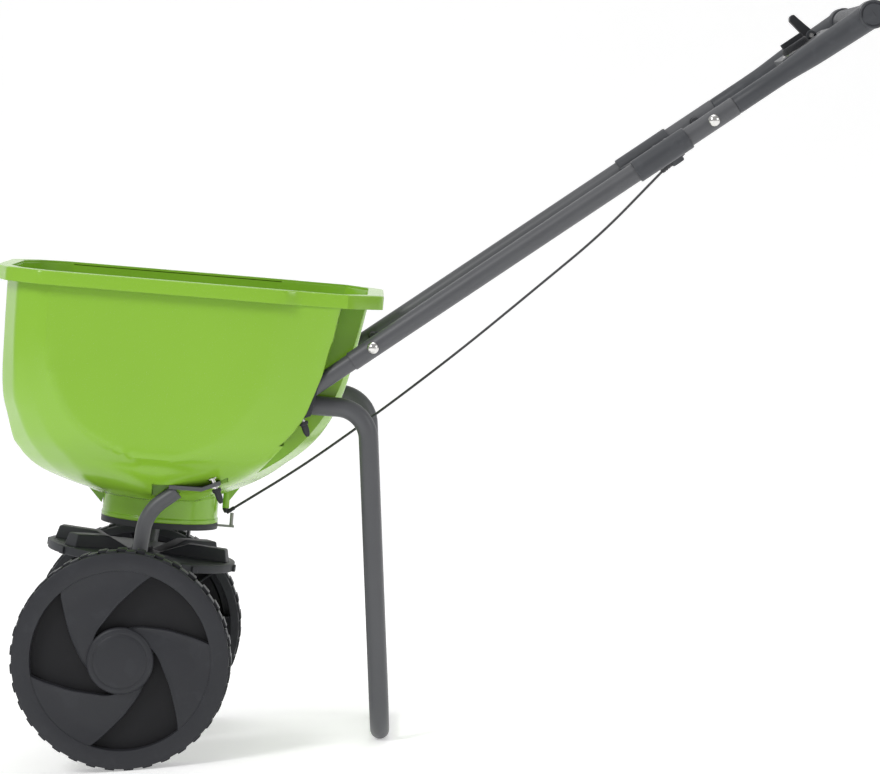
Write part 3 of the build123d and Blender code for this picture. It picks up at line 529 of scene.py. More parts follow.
def respaced(points: Sequence[Vector], count: int) -> list[Vector]:
    """Points at even distances along a polyline."""
    lengths = [0.0]
    for a, b in zip(points, points[1:]):
        lengths.append(lengths[-1] + (b - a).length)
    out, seg = [], 0
    for k in range(count):
        goal = lengths[-1] * k / (count - 1)
        while seg < len(points) - 2 and lengths[seg + 1] < goal:
            seg += 1
        span = lengths[seg + 1] - lengths[seg]
        t = (goal - lengths[seg]) / span if span > 0 else 0.0
        out.append(points[seg].lerp(points[seg + 1], min(1.0, t)))
    return out


def grown(points: Sequence[Point2], amount: float) -> list[Point2]:
    """A closed outline moved outwards by an amount, whichever way it runs."""
    area = sum(a[0] * b[1] - b[0] * a[1] for a, b in zip(points, [*points[1:], points[0]]))
    sign = 1 if area > 0 else -1
    out = []
    for i, here in enumerate(points):
        before, after = Vector(points[i - 1]), Vector(points[(i + 1) % len(points)])
        d1 = (Vector(here) - before).normalized()
        d2 = (after - Vector(here)).normalized()
        n1, n2 = Vector((d1.y, -d1.x)) * sign, Vector((d2.y, -d2.x)) * sign
        mitre = (n1 + n2).normalized()
        reach = amount / max(0.35, mitre.dot(n1))
        out.append((here[0] + mitre.x * reach, here[1] + mitre.y * reach))
    return out


def around(points: Sequence[Point2], centre: Point2, count: int) -> list[Point2]:
    """Where rays from a centre, at even angles, meet a closed outline."""
    out = []
    closed = [*points, points[0]]
    for k in range(count):
        ray = Vector(polar(1.0, 360 * k / count))
        best = 0.0
        for a, b in zip(closed, closed[1:]):
            p, q = Vector(a) - Vector(centre), Vector(b) - Vector(centre)
            edge = q - p
            cross = ray.x * edge.y - ray.y * edge.x
            if abs(cross) < 1e-12:
                continue
            far = (p.x * edge.y - p.y * edge.x) / cross
            share = (p.x * ray.y - p.y * ray.x) / cross
            if far > best and -1e-9 <= share <= 1 + 1e-9:
                best = far
        out.append((centre[0] + ray.x * best, centre[1] + ray.y * best))
    return out


# ------------------------------------------------------------------ meshes
class Shape:
    """A mesh under construction, in metres in the row frame."""

    def __init__(self) -> None:
        """Start empty."""
        self.bm = bmesh.new()

    def skin(
        self, rows: Sequence[Sequence[Vector]], ring: bool = True, loop: bool = False, caps: bool = False
    ) -> "Shape":
        """Faces over rows of points.

        Args:
            rows: rows of equal length.
            ring: join each row's last point to its first.
            loop: join the last row to the first.
            caps: close the first and the last row with a face.

        Returns:
            This shape.
        """
        made = [[self.bm.verts.new(p) for p in row] for row in rows]
        pairs = list(zip(made, made[1:])) + ([(made[-1], made[0])] if loop else [])
        for low, high in pairs:
            count = len(low)
            for i in range(count if ring else count - 1):
                j = (i + 1) % count
                self.bm.faces.new((low[i], low[j], high[j], high[i]))
        if caps:
            self.bm.faces.new(list(reversed(made[0])))
            self.bm.faces.new(made[-1])
        return self

    def lathe(self, seat: Seat, outline: Sequence[Point2], steps: int = 64, loop: bool = False) -> "Shape":
        """Turn an outline about a seat's z axis.

        Args:
            seat: the frame.
            outline: (radius, height) points.
            steps: straight pieces in the round.
            loop: the outline closes on itself.

        Returns:
            This shape.
        """
        rows = []
        for radius, height in outline:
            r = max(radius, AXIS_RADIUS)
            rows.append([seat.at(*polar(r, 360 * k / steps), height) for k in range(steps)])
        return self.skin(rows, loop=loop, caps=not loop)

    def prism(self, seat: Seat, outline: Sequence[Point2], low: float, high: float) -> "Shape":
        """A straight block with an outline in a seat's x and y, from one z to another."""
        rows = [[seat.at(x, y, z) for x, y in outline] for z in (low, high)]
        return self.skin(rows, caps=True)

    def slab(self, seat: Seat, outline: Sequence[Point2], near: float, far: float) -> "Shape":
        """A block with an outline in a seat's x and z, from one y to another."""
        rows = [[seat.at(x, y, z) for x, z in outline] for y in (near, far)]
        return self.skin(rows, caps=True)

    def tube(
        self,
        path: Sequence[Vector],
        radius: float | Sequence[float],
        bore: float = 0.0,
        steps: int = 32,
        squash: float = 1.0,
    ) -> "Shape":
        """A round tube or bar along a path.

        Args:
            path: world points of its centre line.
            radius: outer radius in millimetres, or one for each point.
            bore: inner radius, 0 for a solid bar.
            steps: points round the section.
            squash: section width across the path's own plane, as a share of its height.

        Returns:
            This shape.
        """
        radii = [radius] * len(path) if isinstance(radius, (int, float)) else list(radius)
        tangents = []
        for i in range(len(path)):
            tangents.append((path[min(i + 1, len(path) - 1)] - path[max(i - 1, 0)]).normalized())
        across = Y_AXIS if abs(tangents[0].dot(Y_AXIS)) < 0.9 else X_AXIS
        across = (across - tangents[0] * across.dot(tangents[0])).normalized()
        outer, inner = [], []
        for i, (point, tangent) in enumerate(zip(path, tangents)):
            if i:
                turn = tangents[i - 1].rotation_difference(tangent)
                across = turn @ across
                across = (across - tangent * across.dot(tangent)).normalized()
            up = tangent.cross(across)
            for ring, size in ((outer, radii[i]), (inner, bore)):
                row = []
                for k in range(steps):
                    c, s = polar(size * MM, 360 * k / steps)
                    row.append(point + across * c * squash + up * s)
                ring.append(row)
        if bore:
            return self.skin(outer + inner[::-1], loop=True)
        return self.skin(outer, caps=True)

    def solid(self, name: str) -> bpy.types.Object:
        """Make a plain object of it, with doubles merged and faces turned outwards."""
        bmesh.ops.remove_doubles(self.bm, verts=self.bm.verts, dist=MERGE)
        bmesh.ops.dissolve_degenerate(self.bm, dist=1e-7, edges=self.bm.edges)
        bmesh.ops.recalc_face_normals(self.bm, faces=self.bm.faces)
        mesh = bpy.data.meshes.new(name)
        self.bm.to_mesh(mesh)
        self.bm.free()
        obj = bpy.data.objects.new(name, mesh)
        bpy.context.scene.collection.objects.link(obj)
        return obj

    def piece(self, name: str, body: Body, finish: Finish, *nodes: str, bevel: float = 0.0,
              smooth: float = 38.0) -> bpy.types.Object:
        """Finish the shape as a piece of the model.

        Args:
            name: the piece's name.
            body: the body it rides on.
            finish: its finish.
            nodes: CAD nodes that it stands for.
            bevel: width of a small round on its edges, in millimetres.
            smooth: edges flatter than this many degrees are shaded smooth.

        Returns:
            The piece.
        """
        return dress(self.solid(name), body, finish, *nodes, bevel=bevel, smooth=smooth)


def applied(obj: bpy.types.Object) -> bpy.types.Object:
    """Turn an object's live modifiers into its plain mesh."""
    graph = bpy.context.evaluated_depsgraph_get()
    mesh = bpy.data.meshes.new_from_object(obj.evaluated_get(graph), depsgraph=graph)
    old = obj.data
    obj.modifiers.clear()
    obj.data = mesh
    bpy.data.meshes.remove(old)
    return obj


def dress(obj: bpy.types.Object, body: Body, finish: Finish, *nodes: str, bevel: float = 0.0,
          smooth: float = 38.0) -> bpy.types.Object:
    """Bevel, shade, colour and attach a finished object. Arguments are those of Shape.piece."""
    if bevel:
        edge = obj.modifiers.new("edges", "BEVEL")
        edge.width, edge.segments, edge.limit_method = bevel * MM, 2, "ANGLE"
        edge.angle_limit, edge.use_clamp_overlap = math.radians(smooth - 4), True
        applied(obj)
    mesh = obj.data
    mesh.shade_smooth()
    mesh.set_sharp_from_angle(angle=math.radians(smooth))
    if bevel:
        weigh = obj.modifiers.new("weigh", "WEIGHTED_NORMAL")
        weigh.keep_sharp = True
        applied(obj)
        mesh = obj.data
    mesh.materials.clear()
    mesh.materials.append(Palette.of(finish))
    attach(obj, body.value)
    if nodes:
        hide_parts(*nodes)
    LOG.info("%s: %d faces on %s", obj.name, len(mesh.polygons), body.value)
    return obj


def combine(target: bpy.types.Object, tool: bpy.types.Object, how: str) -> bpy.types.Object:
    """Cut, join or intersect one solid with another, which is then removed.

    Args:
        target: the solid that changes.
        tool: the other solid.
        how: DIFFERENCE or UNION.

    Returns:
        The target.
    """
    change = target.modifiers.new("combine", "BOOLEAN")
    change.operation, change.solver, change.object = how, "EXACT", tool
    applied(target)
    bpy.data.objects.remove(tool)
    return target


class RadialRepeat:
    """A Geometry Nodes tree that repeats one mesh about an axis."""

    def __init__(self, name: str) -> None:
        """Build the tree with its named inputs."""
        self.tree = bpy.data.node_groups.new(name, "GeometryNodeTree")
        face = self.tree.interface
        face.new_socket("Geometry", in_out="INPUT", socket_type="NodeSocketGeometry")
        face.new_socket("Count", in_out="INPUT", socket_type="NodeSocketInt")
        face.new_socket("Axis", in_out="INPUT", socket_type="NodeSocketVector")
        face.new_socket("Centre", in_out="INPUT", socket_type="NodeSocketVector")
        face.new_socket("Finish", in_out="INPUT", socket_type="NodeSocketMaterial")
        face.new_socket("Geometry", in_out="OUTPUT", socket_type="NodeSocketGeometry")
        new, link = self.tree.nodes.new, self.tree.links.new
        source, end = new("NodeGroupInput"), new("NodeGroupOutput")
        whole, copies = new("GeometryNodeGeometryToInstance"), new("GeometryNodeDuplicateElements")
        copies.domain = "INSTANCE"
        step, angle = new("ShaderNodeMath"), new("ShaderNodeMath")
        step.operation, angle.operation = "DIVIDE", "MULTIPLY"
        step.inputs[0].default_value = math.tau
        spin, turn = new("FunctionNodeAxisAngleToRotation"), new("GeometryNodeRotateInstances")
        turn.inputs["Local Space"].default_value = False
        real, paint = new("GeometryNodeRealizeInstances"), new("GeometryNodeSetMaterial")
        link(source.outputs["Geometry"], whole.inputs[0])
        link(whole.outputs[0], copies.inputs["Geometry"])
        link(source.outputs["Count"], copies.inputs["Amount"])
        link(source.outputs["Count"], step.inputs[1])
        link(step.outputs[0], angle.inputs[0])
        link(copies.outputs["Duplicate Index"], angle.inputs[1])
        link(source.outputs["Axis"], spin.inputs["Axis"])
        link(angle.outputs[0], spin.inputs["Angle"])
        link(copies.outputs["Geometry"], turn.inputs["Instances"])
        link(spin.outputs[0], turn.inputs["Rotation"])
        link(source.outputs["Centre"], turn.inputs["Pivot Point"])
        link(turn.outputs[0], real.inputs[0])
        link(real.outputs[0], paint.inputs["Geometry"])
        link(source.outputs["Finish"], paint.inputs["Material"])
        link(paint.outputs[0], end.inputs[0])

    def apply(self, obj: bpy.types.Object, count: int, seat: Seat, finish: Finish) -> bpy.types.Object:
        """Repeat an object's mesh about a seat's z axis and keep the result as its plain mesh.

        Args:
            obj: the object that holds one copy.
            count: number of copies.
            seat: frame whose z axis is the axis of the ring.
            finish: finish given to every copy.

        Returns:
            The same object.
        """
        values = {"Count": count, "Axis": seat.z, "Centre": seat.origin, "Finish": Palette.of(finish)}
        modifier = obj.modifiers.new("ring", "NODES")
        modifier.node_group = self.tree
        for item in self.tree.interface.items_tree:
            if item.in_out == "INPUT" and item.name in values:
                modifier[item.identifier] = values[item.name]
        return applied(obj)


# ------------------------------------------------------------------ paths
def bent(corners: Sequence[Vector], radius: float | None, steps: int = 12) -> list[Vector]:
    """A path of straight runs joined by arcs.

    Args:
        corners: world points, ends included.
        radius: bend radius in millimetres, or None for the widest bend that fits each corner.
        steps: straight pieces in each bend.

    Returns:
        Points along the path.
    """
    path = [corners[0]]
    for before, here, after in zip(corners, corners[1:], corners[2:]):
        back, ahead = before - here, after - here
        half = back.angle(ahead) / 2
        if radius is None:
            reach = 0.45 * min(back.length, ahead.length)
        else:
            reach = radius * MM / math.tan(half)
        inwards = (back.normalized() + ahead.normalized()).normalized()
        centre = here + inwards * (reach / math.cos(half))
        first = here + back.normalized() * reach - centre
        last = here + ahead.normalized() * reach - centre
        for k in range(steps + 1):
            path.append(centre + first.normalized().slerp(last.normalized(), k / steps) * first.length)
    path.append(corners[-1])
    return path


def lined(start: Vector, end: Vector, count: int = 2) -> list[Vector]:
    """Evenly spaced points on a straight line."""
    return [start.lerp(end, k / (count - 1)) for k in range(count)]


def rounded_box(half_x: float, half_y: float, radius: float) -> list[Point2]:
    """A rounded rectangle about the origin."""
    corners = [(-half_x, -half_y), (half_x, -half_y), (half_x, half_y), (-half_x, half_y)]
    return rounded(corners, radius)


def mirrored_plan(points: Sequence[Point2]) -> list[Point2]:
    """Close an outline given for positive y, front to rear, by mirroring it."""
    return [*points, *((x, -y) for x, y in reversed(points))]


# ------------------------------------------------------------------ hopper
@dataclass(frozen=True)
class Level:
    """One level of the hopper's outside: its corners for positive y, from the front to the rear."""

    height: float
    front: Point2
    chamfer: Point2
    crease: Point2
    panel: Point2
    half_width: float
    rear_crease: Point2
    rear: Point2
    soft: float

    def values(self) -> list[float]:
        """Every number of the level in order."""
        return [self.height, *self.front, *self.chamfer, *self.crease, *self.panel, self.half_width,
                *self.rear_crease, *self.rear, self.soft]


@dataclass
class Hopper:
    """The lime hopper: bowl with flat side panels, rim, neck and boss."""

    seat: Seat
    wall: float = 3.5
    rim_height: float = 487.0
    rim_band: float = 18.0
    floor: float = 197.0
    neck_x: float = 26.0
    neck_radius: float = 76.0
    neck_bottom: float = 166.0
    rays: int = 240
    step: float = 5.0
    panel_foot: float = 258.0
    panel_fade: float = 12.0
    panel_edge: float = 2.0
    panel_melt: float = 40.0
    space_near: float = 122.0
    pocket_far: float = 175.0
    beyond: float = 203.0
    tab_line: tuple = (20.0, 84.0, 116.0)
    tab_heights: tuple = (150.0, 224.0, 238.5)
    tab_near: float = 133.0
    tab_far: float = 159.0
    boss_x: float = 112.0
    middle: Point2 = (20.0, 0.0)
    ear: tuple = ((300, 469), (248, 469), (226, 380), (204, 312), (128, 215), (300, 215))
    pocket: tuple = ((300, 469), (215, 469), (165, 322), (165, 287), (300, 287))
    rim_plan: tuple = ((-205, 105), (-186, 160), (-158, 182), (-143, 195), (172, 195), (188, 184), (252, 178),
                       (297, 120))
    levels: tuple = (
        Level(505, (-190, 100), (-172, 152), (-154, 169), (-129, 166), 183, (252, 177), (283, 118), 4),
        Level(430, (-189.5, 99), (-171, 150), (-150, 167), (-128, 163), 183, (237, 177), (270, 114), 4),
        Level(390, (-189, 97), (-170, 148), (-147, 165), (-127, 160), 183, (229, 177), (263, 110), 5),
        Level(350, (-188, 94), (-168, 143), (-142, 163), (-117, 149), 183, (219, 177), (253, 102), 6),
        Level(317, (-185, 88), (-165, 136), (-136, 160), (-101, 129), 183, (205, 177), (240, 90), 9),
        Level(290, (-178, 78), (-156, 126), (-124, 156), (-77, 105), 183, (187, 176.4), (223, 78), 14),
        Level(270, (-173, 68), (-147, 118), (-112, 151), (-43, 76), 183, (172, 168), (204, 70), 18),
        Level(257, (-169, 60), (-139, 110), (-100, 147), (-4, 42), 182.6, (158, 158), (188, 64), 24),
        Level(249, (-163, 56), (-132, 106), (-92, 142), (0, 40), 175, (148, 149), (179, 60), 28),
        Level(238, (-154, 51), (-122, 100), (-82, 135), (2, 38), 170, (134, 138), (165, 55), 34),
        Level(224, (-136, 43), (-105, 88), (-69, 122), (4, 36), 160, (114, 120), (143, 46), 38),
        Level(210, (-101, 33), (-82, 70), (-52, 102), (6, 35), 143, (90, 98), (114, 36), 38),
        Level(202, (-72, 28), (-58, 56), (-36, 82), (8, 34), 120, (76, 80), (99, 30), 30),
        Level(196, (-56, 26), (-46, 50), (-28, 70), (8, 34), 96, (70, 66), (94, 26), 20),
    )

    def plan(self, height: float) -> list[Point2]:
        """The outside's rounded outline at a height."""
        keys = [level.values() for level in self.levels]
        i = 0
        while i < len(keys) - 2 and height < keys[i + 1][0]:
            i += 1
        low, high = keys[i], keys[i + 1]
        before, after = keys[max(i - 1, 0)], keys[min(i + 2, len(keys) - 1)]
        span = high[0] - low[0]
        t = (height - low[0]) / span
        v = []
        for a, b, c, d in zip(before, low, high, after):
            into = (c - a) / (high[0] - before[0]) * span
            out_of = (d - b) / (after[0] - low[0]) * span
            h = b * (2 * t ** 3 - 3 * t ** 2 + 1) + into * (t ** 3 - 2 * t ** 2 + t)
            v.append(h + c * (3 * t ** 2 - 2 * t ** 3) + out_of * (t ** 3 - t ** 2))
        corners = [(v[1], v[2]), (v[3], v[4]), (v[5], v[6]), (v[7], v[9]), (v[8], v[9]), (v[10], v[11]),
                   (v[12], v[13])]
        soft = v[14]
        fade = min(1.0, max(0.0, (self.panel_foot - height) / self.panel_fade))
        edge = self.panel_edge + fade * self.panel_melt
        radii = [12 + soft, soft, soft, edge, edge, 6 + soft, 12 + soft]
        return rounded(mirrored_plan(corners), [*radii, *reversed(radii)], 8)

    def rows(self, inset: float, bottom: float, top: float) -> list[list[Vector]]:
        """World rings of the bowl drawn in by an inset, between two heights."""
        count = round((top - bottom) / self.step)
        rings = []
        for k in range(count + 1):
            height = bottom + (top - bottom) * k / count
            line = self.plan(height)
            if inset:
                line = grown(line, -inset)
            rings.append([self.seat.at(x, y, height) for x, y in around(line, self.middle, self.rays)])
        return rings

    def spaces(self, grow: float) -> bpy.types.Object:
        """The spaces behind the ears and inside the two rear pockets, grown by a wall."""
        shape = Shape()
        near = self.space_near - grow
        ear = grown(self.ear, grow) if grow else self.ear
        pocket = grown(self.pocket, grow) if grow else self.pocket
        far = self.beyond if grow else self.pocket_far
        for side in Side:
            shape.slab(self.seat, ear, side.value * near, side.value * self.beyond)
        ears = shape.solid("ear_space")
        pockets = Shape()
        for side in Side:
            pockets.slab(self.seat, pocket, side.value * near, side.value * far)
        return combine(ears, pockets.solid("pocket_space"), "UNION")

    def tab_block(self, grow: float) -> bpy.types.Object:
        """The recesses under the bowl that take the bracket tabs, grown by a wall."""
        shape = Shape()
        front, middle, rear = self.tab_line
        low, top, rear_top = self.tab_heights
        outline = [(front - grow, low), (rear + grow, low), (rear + grow, rear_top + grow),
                   (middle, top + grow), (front - grow, top + grow)]
        near, far = self.tab_near - grow, self.tab_far + grow
        for side in Side:
            shape.slab(self.seat, outline, side.value * near, side.value * far)
        return shape.solid("tab_space")

    def build(self) -> None:
        """Make the hopper's pieces."""
        cavity = Shape().skin(self.rows(self.wall, self.floor + 5, 500), caps=True).solid("cavity")
        combine(cavity, self.spaces(self.wall), "DIFFERENCE")
        combine(cavity, self.tab_block(self.wall), "DIFFERENCE")
        bowl = Shape().skin(self.rows(0, self.floor, self.rim_height - 3), caps=True)
        bowl = bowl.solid("hopper_bowl")
        combine(bowl, self.spaces(0), "DIFFERENCE")
        combine(bowl, cavity, "DIFFERENCE")
        combine(bowl, self.tab_block(0), "DIFFERENCE")
        throat = Seat(self.seat.at(self.neck_x, 0, 0), self.seat.x, self.seat.z)
        bore = self.neck_radius - self.wall
        hole = Shape().lathe(throat, [(bore, 150), (bore, 230)], 96)
        combine(bowl, hole.solid("throat_space"), "DIFFERENCE")
        dress(bowl, Body.FRAME, LIME, "hopper", smooth=32)
        self.rim()
        self.neck(throat)
        self.gussets()

    def rim(self) -> None:
        """The rim: a flat lip with a turned-down band that follows the bowl."""
        outer = rounded(mirrored_plan(self.rim_plan), 7)
        inner = grown(self.plan(self.rim_height), -self.wall)
        top = self.rim_height
        section = [(0, top - self.rim_band), (0, top - 2.4), (-0.7, top - 0.8), (-2.2, top)]
        rows = []
        for inset, height in section:
            line = around(grown(outer, inset) if inset else outer, self.middle, self.rays)
            rows.append([self.seat.at(x, y, height) for x, y in line])
        for drop in (0.0, 4.0):
            rows.append([self.seat.at(x, y, top - drop) for x, y in around(inner, self.middle, self.rays)])
        for height in (top - 3.4, top - self.rim_band):
            line = around(grown(outer, -2.8), self.middle, self.rays)
            rows.append([self.seat.at(x, y, height) for x, y in line])
        Shape().skin(rows, loop=True).piece("hopper_rim", Body.FRAME, LIME, smooth=30)

    def neck(self, throat: Seat) -> None:
        """The round neck with a bead at its foot."""
        r, low = self.neck_radius, self.neck_bottom
        outline = [(r - self.wall, low), (r + 0.6, low), (r + 1.2, low + 1), (r + 1.2, low + 5),
                   (r, low + 6.5), (r, 208), (r - self.wall, 208)]
        Shape().lathe(throat, outline, 128, loop=True).piece("hopper_neck", Body.FRAME, LIME, smooth=30)

    def gussets(self) -> None:
        """The plug boss behind the neck with its web, and the web in front of the neck."""
        x = self.boss_x
        boss = Seat(self.seat.at(x, 0, 0), self.seat.x, self.seat.z)
        shape = Shape().lathe(boss, [(2.5, 186), (4.5, 186), (4.5, 212), (2.5, 212)], 32, loop=True)
        shape.slab(self.seat, [(x, 190), (x + 22, 222), (x, 212)], -1.5, 1.5)
        shape.slab(self.seat, [(-52, 180), (-74, 203), (-46, 203)], -1.5, 1.5)
        shape.piece("hopper_boss", Body.FRAME, LIME, smooth=30)


# ------------------------------------------------------------------ wheels
@dataclass
class Wheel:
    """A charcoal wheel with a block tread, three swirl blades and a hub cap."""

    side: Side
    seat: Seat
    ring: RadialRepeat
    radius: float = 139.0
    knob_top: float = 140.8
    width: float = 50.0
    tread_inner: float = 127.0
    face_radius: float = 115.0
    well: float = 16.0
    knobs: int = 36
    blades: int = 3
    ribs: int = 12
    cap_radius: float = 43.0
    clockwise: tuple = ((0.835, 64.6), (0.626, 77), (0.48, 91.5), (0.394, 105.3), (0.347, 121.3), (0.30, 140))
    counter: tuple = ((0.835, 126.2), (0.678, 134.9), (0.56, 144.3), (0.415, 162), (0.307, 190), (0.27, 205))

    def build(self) -> None:
        """Make the wheel's pieces."""
        word = self.side.word
        body = Body.DRIVE if self.side is Side.LEFT else Body.FREE
        self.rim().piece(f"wheel_{word}_rim", body, WHEEL, f"wheel_{word}", smooth=34)
        # The web at the bottom of the wells takes the darker copy of the wheel plastic as painted shade.
        self.web().piece(f"wheel_{word}_web", body, PAINTED_WELL_SHADE, smooth=34)
        self.tread(body)
        blade = self.blade().solid(f"wheel_{word}_blades")
        self.ring.apply(blade, self.blades, self.seat, WHEEL)
        dress(blade, body, WHEEL, smooth=40)
        outer = self.tread_inner + 1
        rib = Shape().prism(self.seat, [(16, -1.5), (outer, -1.2), (outer, 1.2), (16, 1.5)], -37, -18)
        rib = rib.solid(f"wheel_{word}_ribs")
        self.ring.apply(rib, self.ribs, self.seat, WHEEL)
        dress(rib, body, WHEEL, bevel=0.5)
        r = self.cap_radius
        cap = [(0, 3), (9, 2.95), (20, 2.6), (29, 2.0), (33.5, 1.6), (34.6, 0.8), (35.8, 1.4), (39.5, 0.8),
               (41.8, -0.3), (r - 0.1, -2.2), (r, -6), (0, -6)]
        cover = Shape().lathe(self.seat, cap, 96)
        cover.piece(f"hub_cap_{word}_cover", body, WHEEL, f"hub_cap_{word}", smooth=40)

    def rim(self) -> Shape:
        """The turned parts: tread ring, face ring, web, hub tube and stiffening ring."""
        w, t, face, floor = self.width, self.tread_inner, self.face_radius, -self.well - 3
        groove = self.radius - 8
        outline = [(face, -1.6), (face + 0.5, -0.5), (face + 1.8, 0), (136.4, 0), (138, -0.7), (138.8, -2.2),
                   (138.8, -3.2), (groove, -4.0), (groove, -23.8), (136.5, -24.3), (136.5, -25.7),
                   (groove, -26.2), (groove, 4.0 - w), (138.8, 3.2 - w), (138.8, 2.2 - w), (137.5, -w),
                   (t + 1, -w), (t, 1.2 - w), (t, floor), (face, floor)]
        shape = Shape().lathe(self.seat, outline, 180, loop=True)
        shape.lathe(self.seat, [(5.05, -7), (17, -7), (17, 1.2 - w), (16, -w), (5.05, -w)], 48, loop=True)
        ring = [(74, -18), (78, -18), (78, -35), (77, -36), (75, -36), (74, -35)]
        return shape.lathe(self.seat, ring, 120, loop=True)

    def web(self) -> Shape:
        """The flat web at the bottom of the wells."""
        low, high, outer = -self.well - 3, -self.well, self.face_radius + 2
        return Shape().lathe(self.seat, [(18, low), (outer, low), (outer, high), (18, high)], 144, loop=True)

    def tread(self, body: Body) -> None:
        """Two staggered rows of raised blocks."""
        half = math.degrees(6.2 / self.radius)
        pitch = 360 / self.knobs
        for row, (low, high) in enumerate(((-24.6, -2.6), (-47.4, -25.4))):
            angles = [row * pitch / 2 + half * k / 3 for k in range(-3, 4)]
            outline = [polar(self.knob_top, a) for a in angles]
            outline += [polar(self.radius - 9, a) for a in reversed(angles)]
            block = Shape().prism(self.seat, outline, low, high)
            obj = block.solid(f"wheel_{self.side.word}_blocks_{row + 1}")
            edge = obj.modifiers.new("edges", "BEVEL")
            edge.width, edge.segments, edge.limit_method = 0.9 * MM, 2, "ANGLE"
            applied(obj)
            self.ring.apply(obj, self.knobs, self.seat, WHEEL)
            dress(obj, body, WHEEL)

    def blade(self) -> Shape:
        """One swirl blade: a sloping surface between two curved edges, with a rolled edge on both sides."""
        def edge(points: Sequence[Point2]) -> list[Vector]:
            """An edge's points as radius and angle, evenly spaced along it."""
            return smooth_line([(r * self.radius, a, 0) for r, a in points], 25)

        near, far = edge(self.clockwise), edge(self.counter)
        floor = -self.well - 0.8
        across = [0, 0.008, 0.025, 0.05, 0.09, 0.2, 0.35, 0.5, 0.65, 0.8, 0.91, 0.95, 0.975, 0.992, 1]
        rows, floors = [], []
        for i, (a, b) in enumerate(zip(near, far)):
            v = i / 24
            row, below = [], []
            for u in across:
                radius, angle = a.x * (1 - u) + b.x * u, a.y * (1 - u) + b.y * u
                side = min(u, 1 - u)
                roll = 1.3 * max(0.0, 1 - side / 0.008) ** 2
                bead = 1.1 * math.exp(-((side - 0.03) / 0.025) ** 2)
                slope = 5.5 * u ** 1.5 * min(1.0, v * 5) + 1.2 * v
                x, y = polar(radius, angle)
                row.append(self.seat.at(x, y, -1.2 - slope + bead * min(1.0, v * 6) - roll))
                below.append(self.seat.at(x, y, floor))
            rows.append(row)
            floors.append(below)
        shape = Shape().skin(rows, ring=False).skin(floors, ring=False)
        for a, b in ((rows[0], floors[0]), (rows[-1], floors[-1])):
            shape.skin([a, b], ring=False)
        for i in (0, -1):
            shape.skin([[row[i] for row in rows], [row[i] for row in floors]], ring=False)
        return shape


# ------------------------------------------------------------------ spinner
@dataclass
class Spinner:
    """The throwing disc with its vanes, edge tabs and hub."""

    seat: Seat
    ring: RadialRepeat
    radius: float = 124.0
    top: float = 122.0
    skirt: float = 11.0
    tabs: int = 8
    angles: tuple = (-8.0, 38.0, 172.0, 218.0)
    vane_height: float = 17.0
    vane_width: float = 26.0

    def build(self) -> None:
        """Make the disc's pieces."""
        r, z = self.radius, self.top
        foot = z - self.skirt
        disc = [(12, z - 3), (r - 3, z - 3), (r - 3, foot), (r - 0.6, foot), (r, foot + 0.8), (r, z - 1.4),
                (r - 0.6, z - 0.4), (r - 2, z), (r - 8, z), (r - 9, z - 0.8), (r - 10, z), (20, z),
                (14, z + 2), (13, z + 6), (4.05, z + 6), (4.05, z - 16), (12, z - 16)]
        plate = Shape().lathe(self.seat, disc, 144, loop=True)
        plate.piece("spinner_disc", Body.SPINNER, DISC, "spinner", smooth=34)
        turn = math.radians(self.angles[0])
        across = self.seat.x * math.cos(turn) + self.seat.y * math.sin(turn)
        first = Seat(self.seat.origin, across, self.seat.z)
        line = rounded([(r - 2, -4.5), (r + 3, -4.2), (r + 3, 4.2), (r - 2, 4.5)], 0.8, 3)
        tab = Shape().prism(first, line, foot, z - 2).solid("spinner_tabs")
        self.ring.apply(tab, self.tabs, self.seat, DISC)
        dress(tab, Body.SPINNER, DISC, bevel=0.6)
        shape = Shape()
        for angle in self.angles:
            self.vane(shape, angle)
        shape.piece("spinner_vanes", Body.SPINNER, DISC, bevel=2.0)

    def vane(self, shape: Shape, angle: float) -> None:
        """Add one raised vane, with drafted sides and a sloping inner end."""
        c, s = math.cos(math.radians(angle)), math.sin(math.radians(angle))
        seat = Seat(self.seat.origin, self.seat.x * c + self.seat.y * s, self.seat.z)
        low, high = self.top - 0.6, self.top + self.vane_height
        profile = [(22, low), (self.radius - 8, low), (self.radius - 12, high), (62, high)]
        rows = []
        for share in (-1, 1):
            row = []
            for x, z in profile:
                half = self.vane_width / 2 - (2.0 if z == high else 0.0)
                row.append(seat.at(x, share * half, z))
            rows.append(row)
        shape.skin(rows, caps=True)


# ------------------------------------------------------------------ fasteners
class Fastener:
    """Bolts, nuts and caps, added to shapes as turned parts."""

    cap: tuple = ((2.6, 0), (6.0, 0), (6.0, 3.4), (5.2, 4.4), (4.5, 5), (4.3, 13), (3.9, 15), (2.4, 19.6),
                  (1.6, 20), (0, 20))
    dome: tuple = ((0, 5.4), (1.8, 5.25), (3.6, 4.6), (5.4, 3.4), (6.8, 2.0), (7.4, 1.1), (7.5, 0.4),
                   (7.4, 0), (0, 0))
    nut: tuple = ((0, 0), (6.5, 0), (6.5, 4), (5.8, 4.8), (4.4, 9), (0, 9.5))

    @staticmethod
    def seat(base: Seat, x: float, y: float, z: float, normal: Vector) -> Seat:
        """A seat on a base frame whose z axis is a world direction."""
        across = base.x if abs(normal.dot(base.x)) < 0.9 else base.y
        return base.facing(x, y, z, normal, across)

    @staticmethod
    def shank(shape: Shape, seat: Seat, low: float, high: float) -> None:
        """Add a threaded shank of fine rings from one height to another."""
        outline: list[Point2] = [(0, low)]
        turns = max(1, round((high - low) / 1.0))
        for k in range(turns):
            height = low + (high - low) * k / turns
            outline += [(2.7, height), (3.0, height + 0.5 * (high - low) / turns)]
        outline += [(2.7, high), (0, high)]
        shape.lathe(seat, outline, 24)


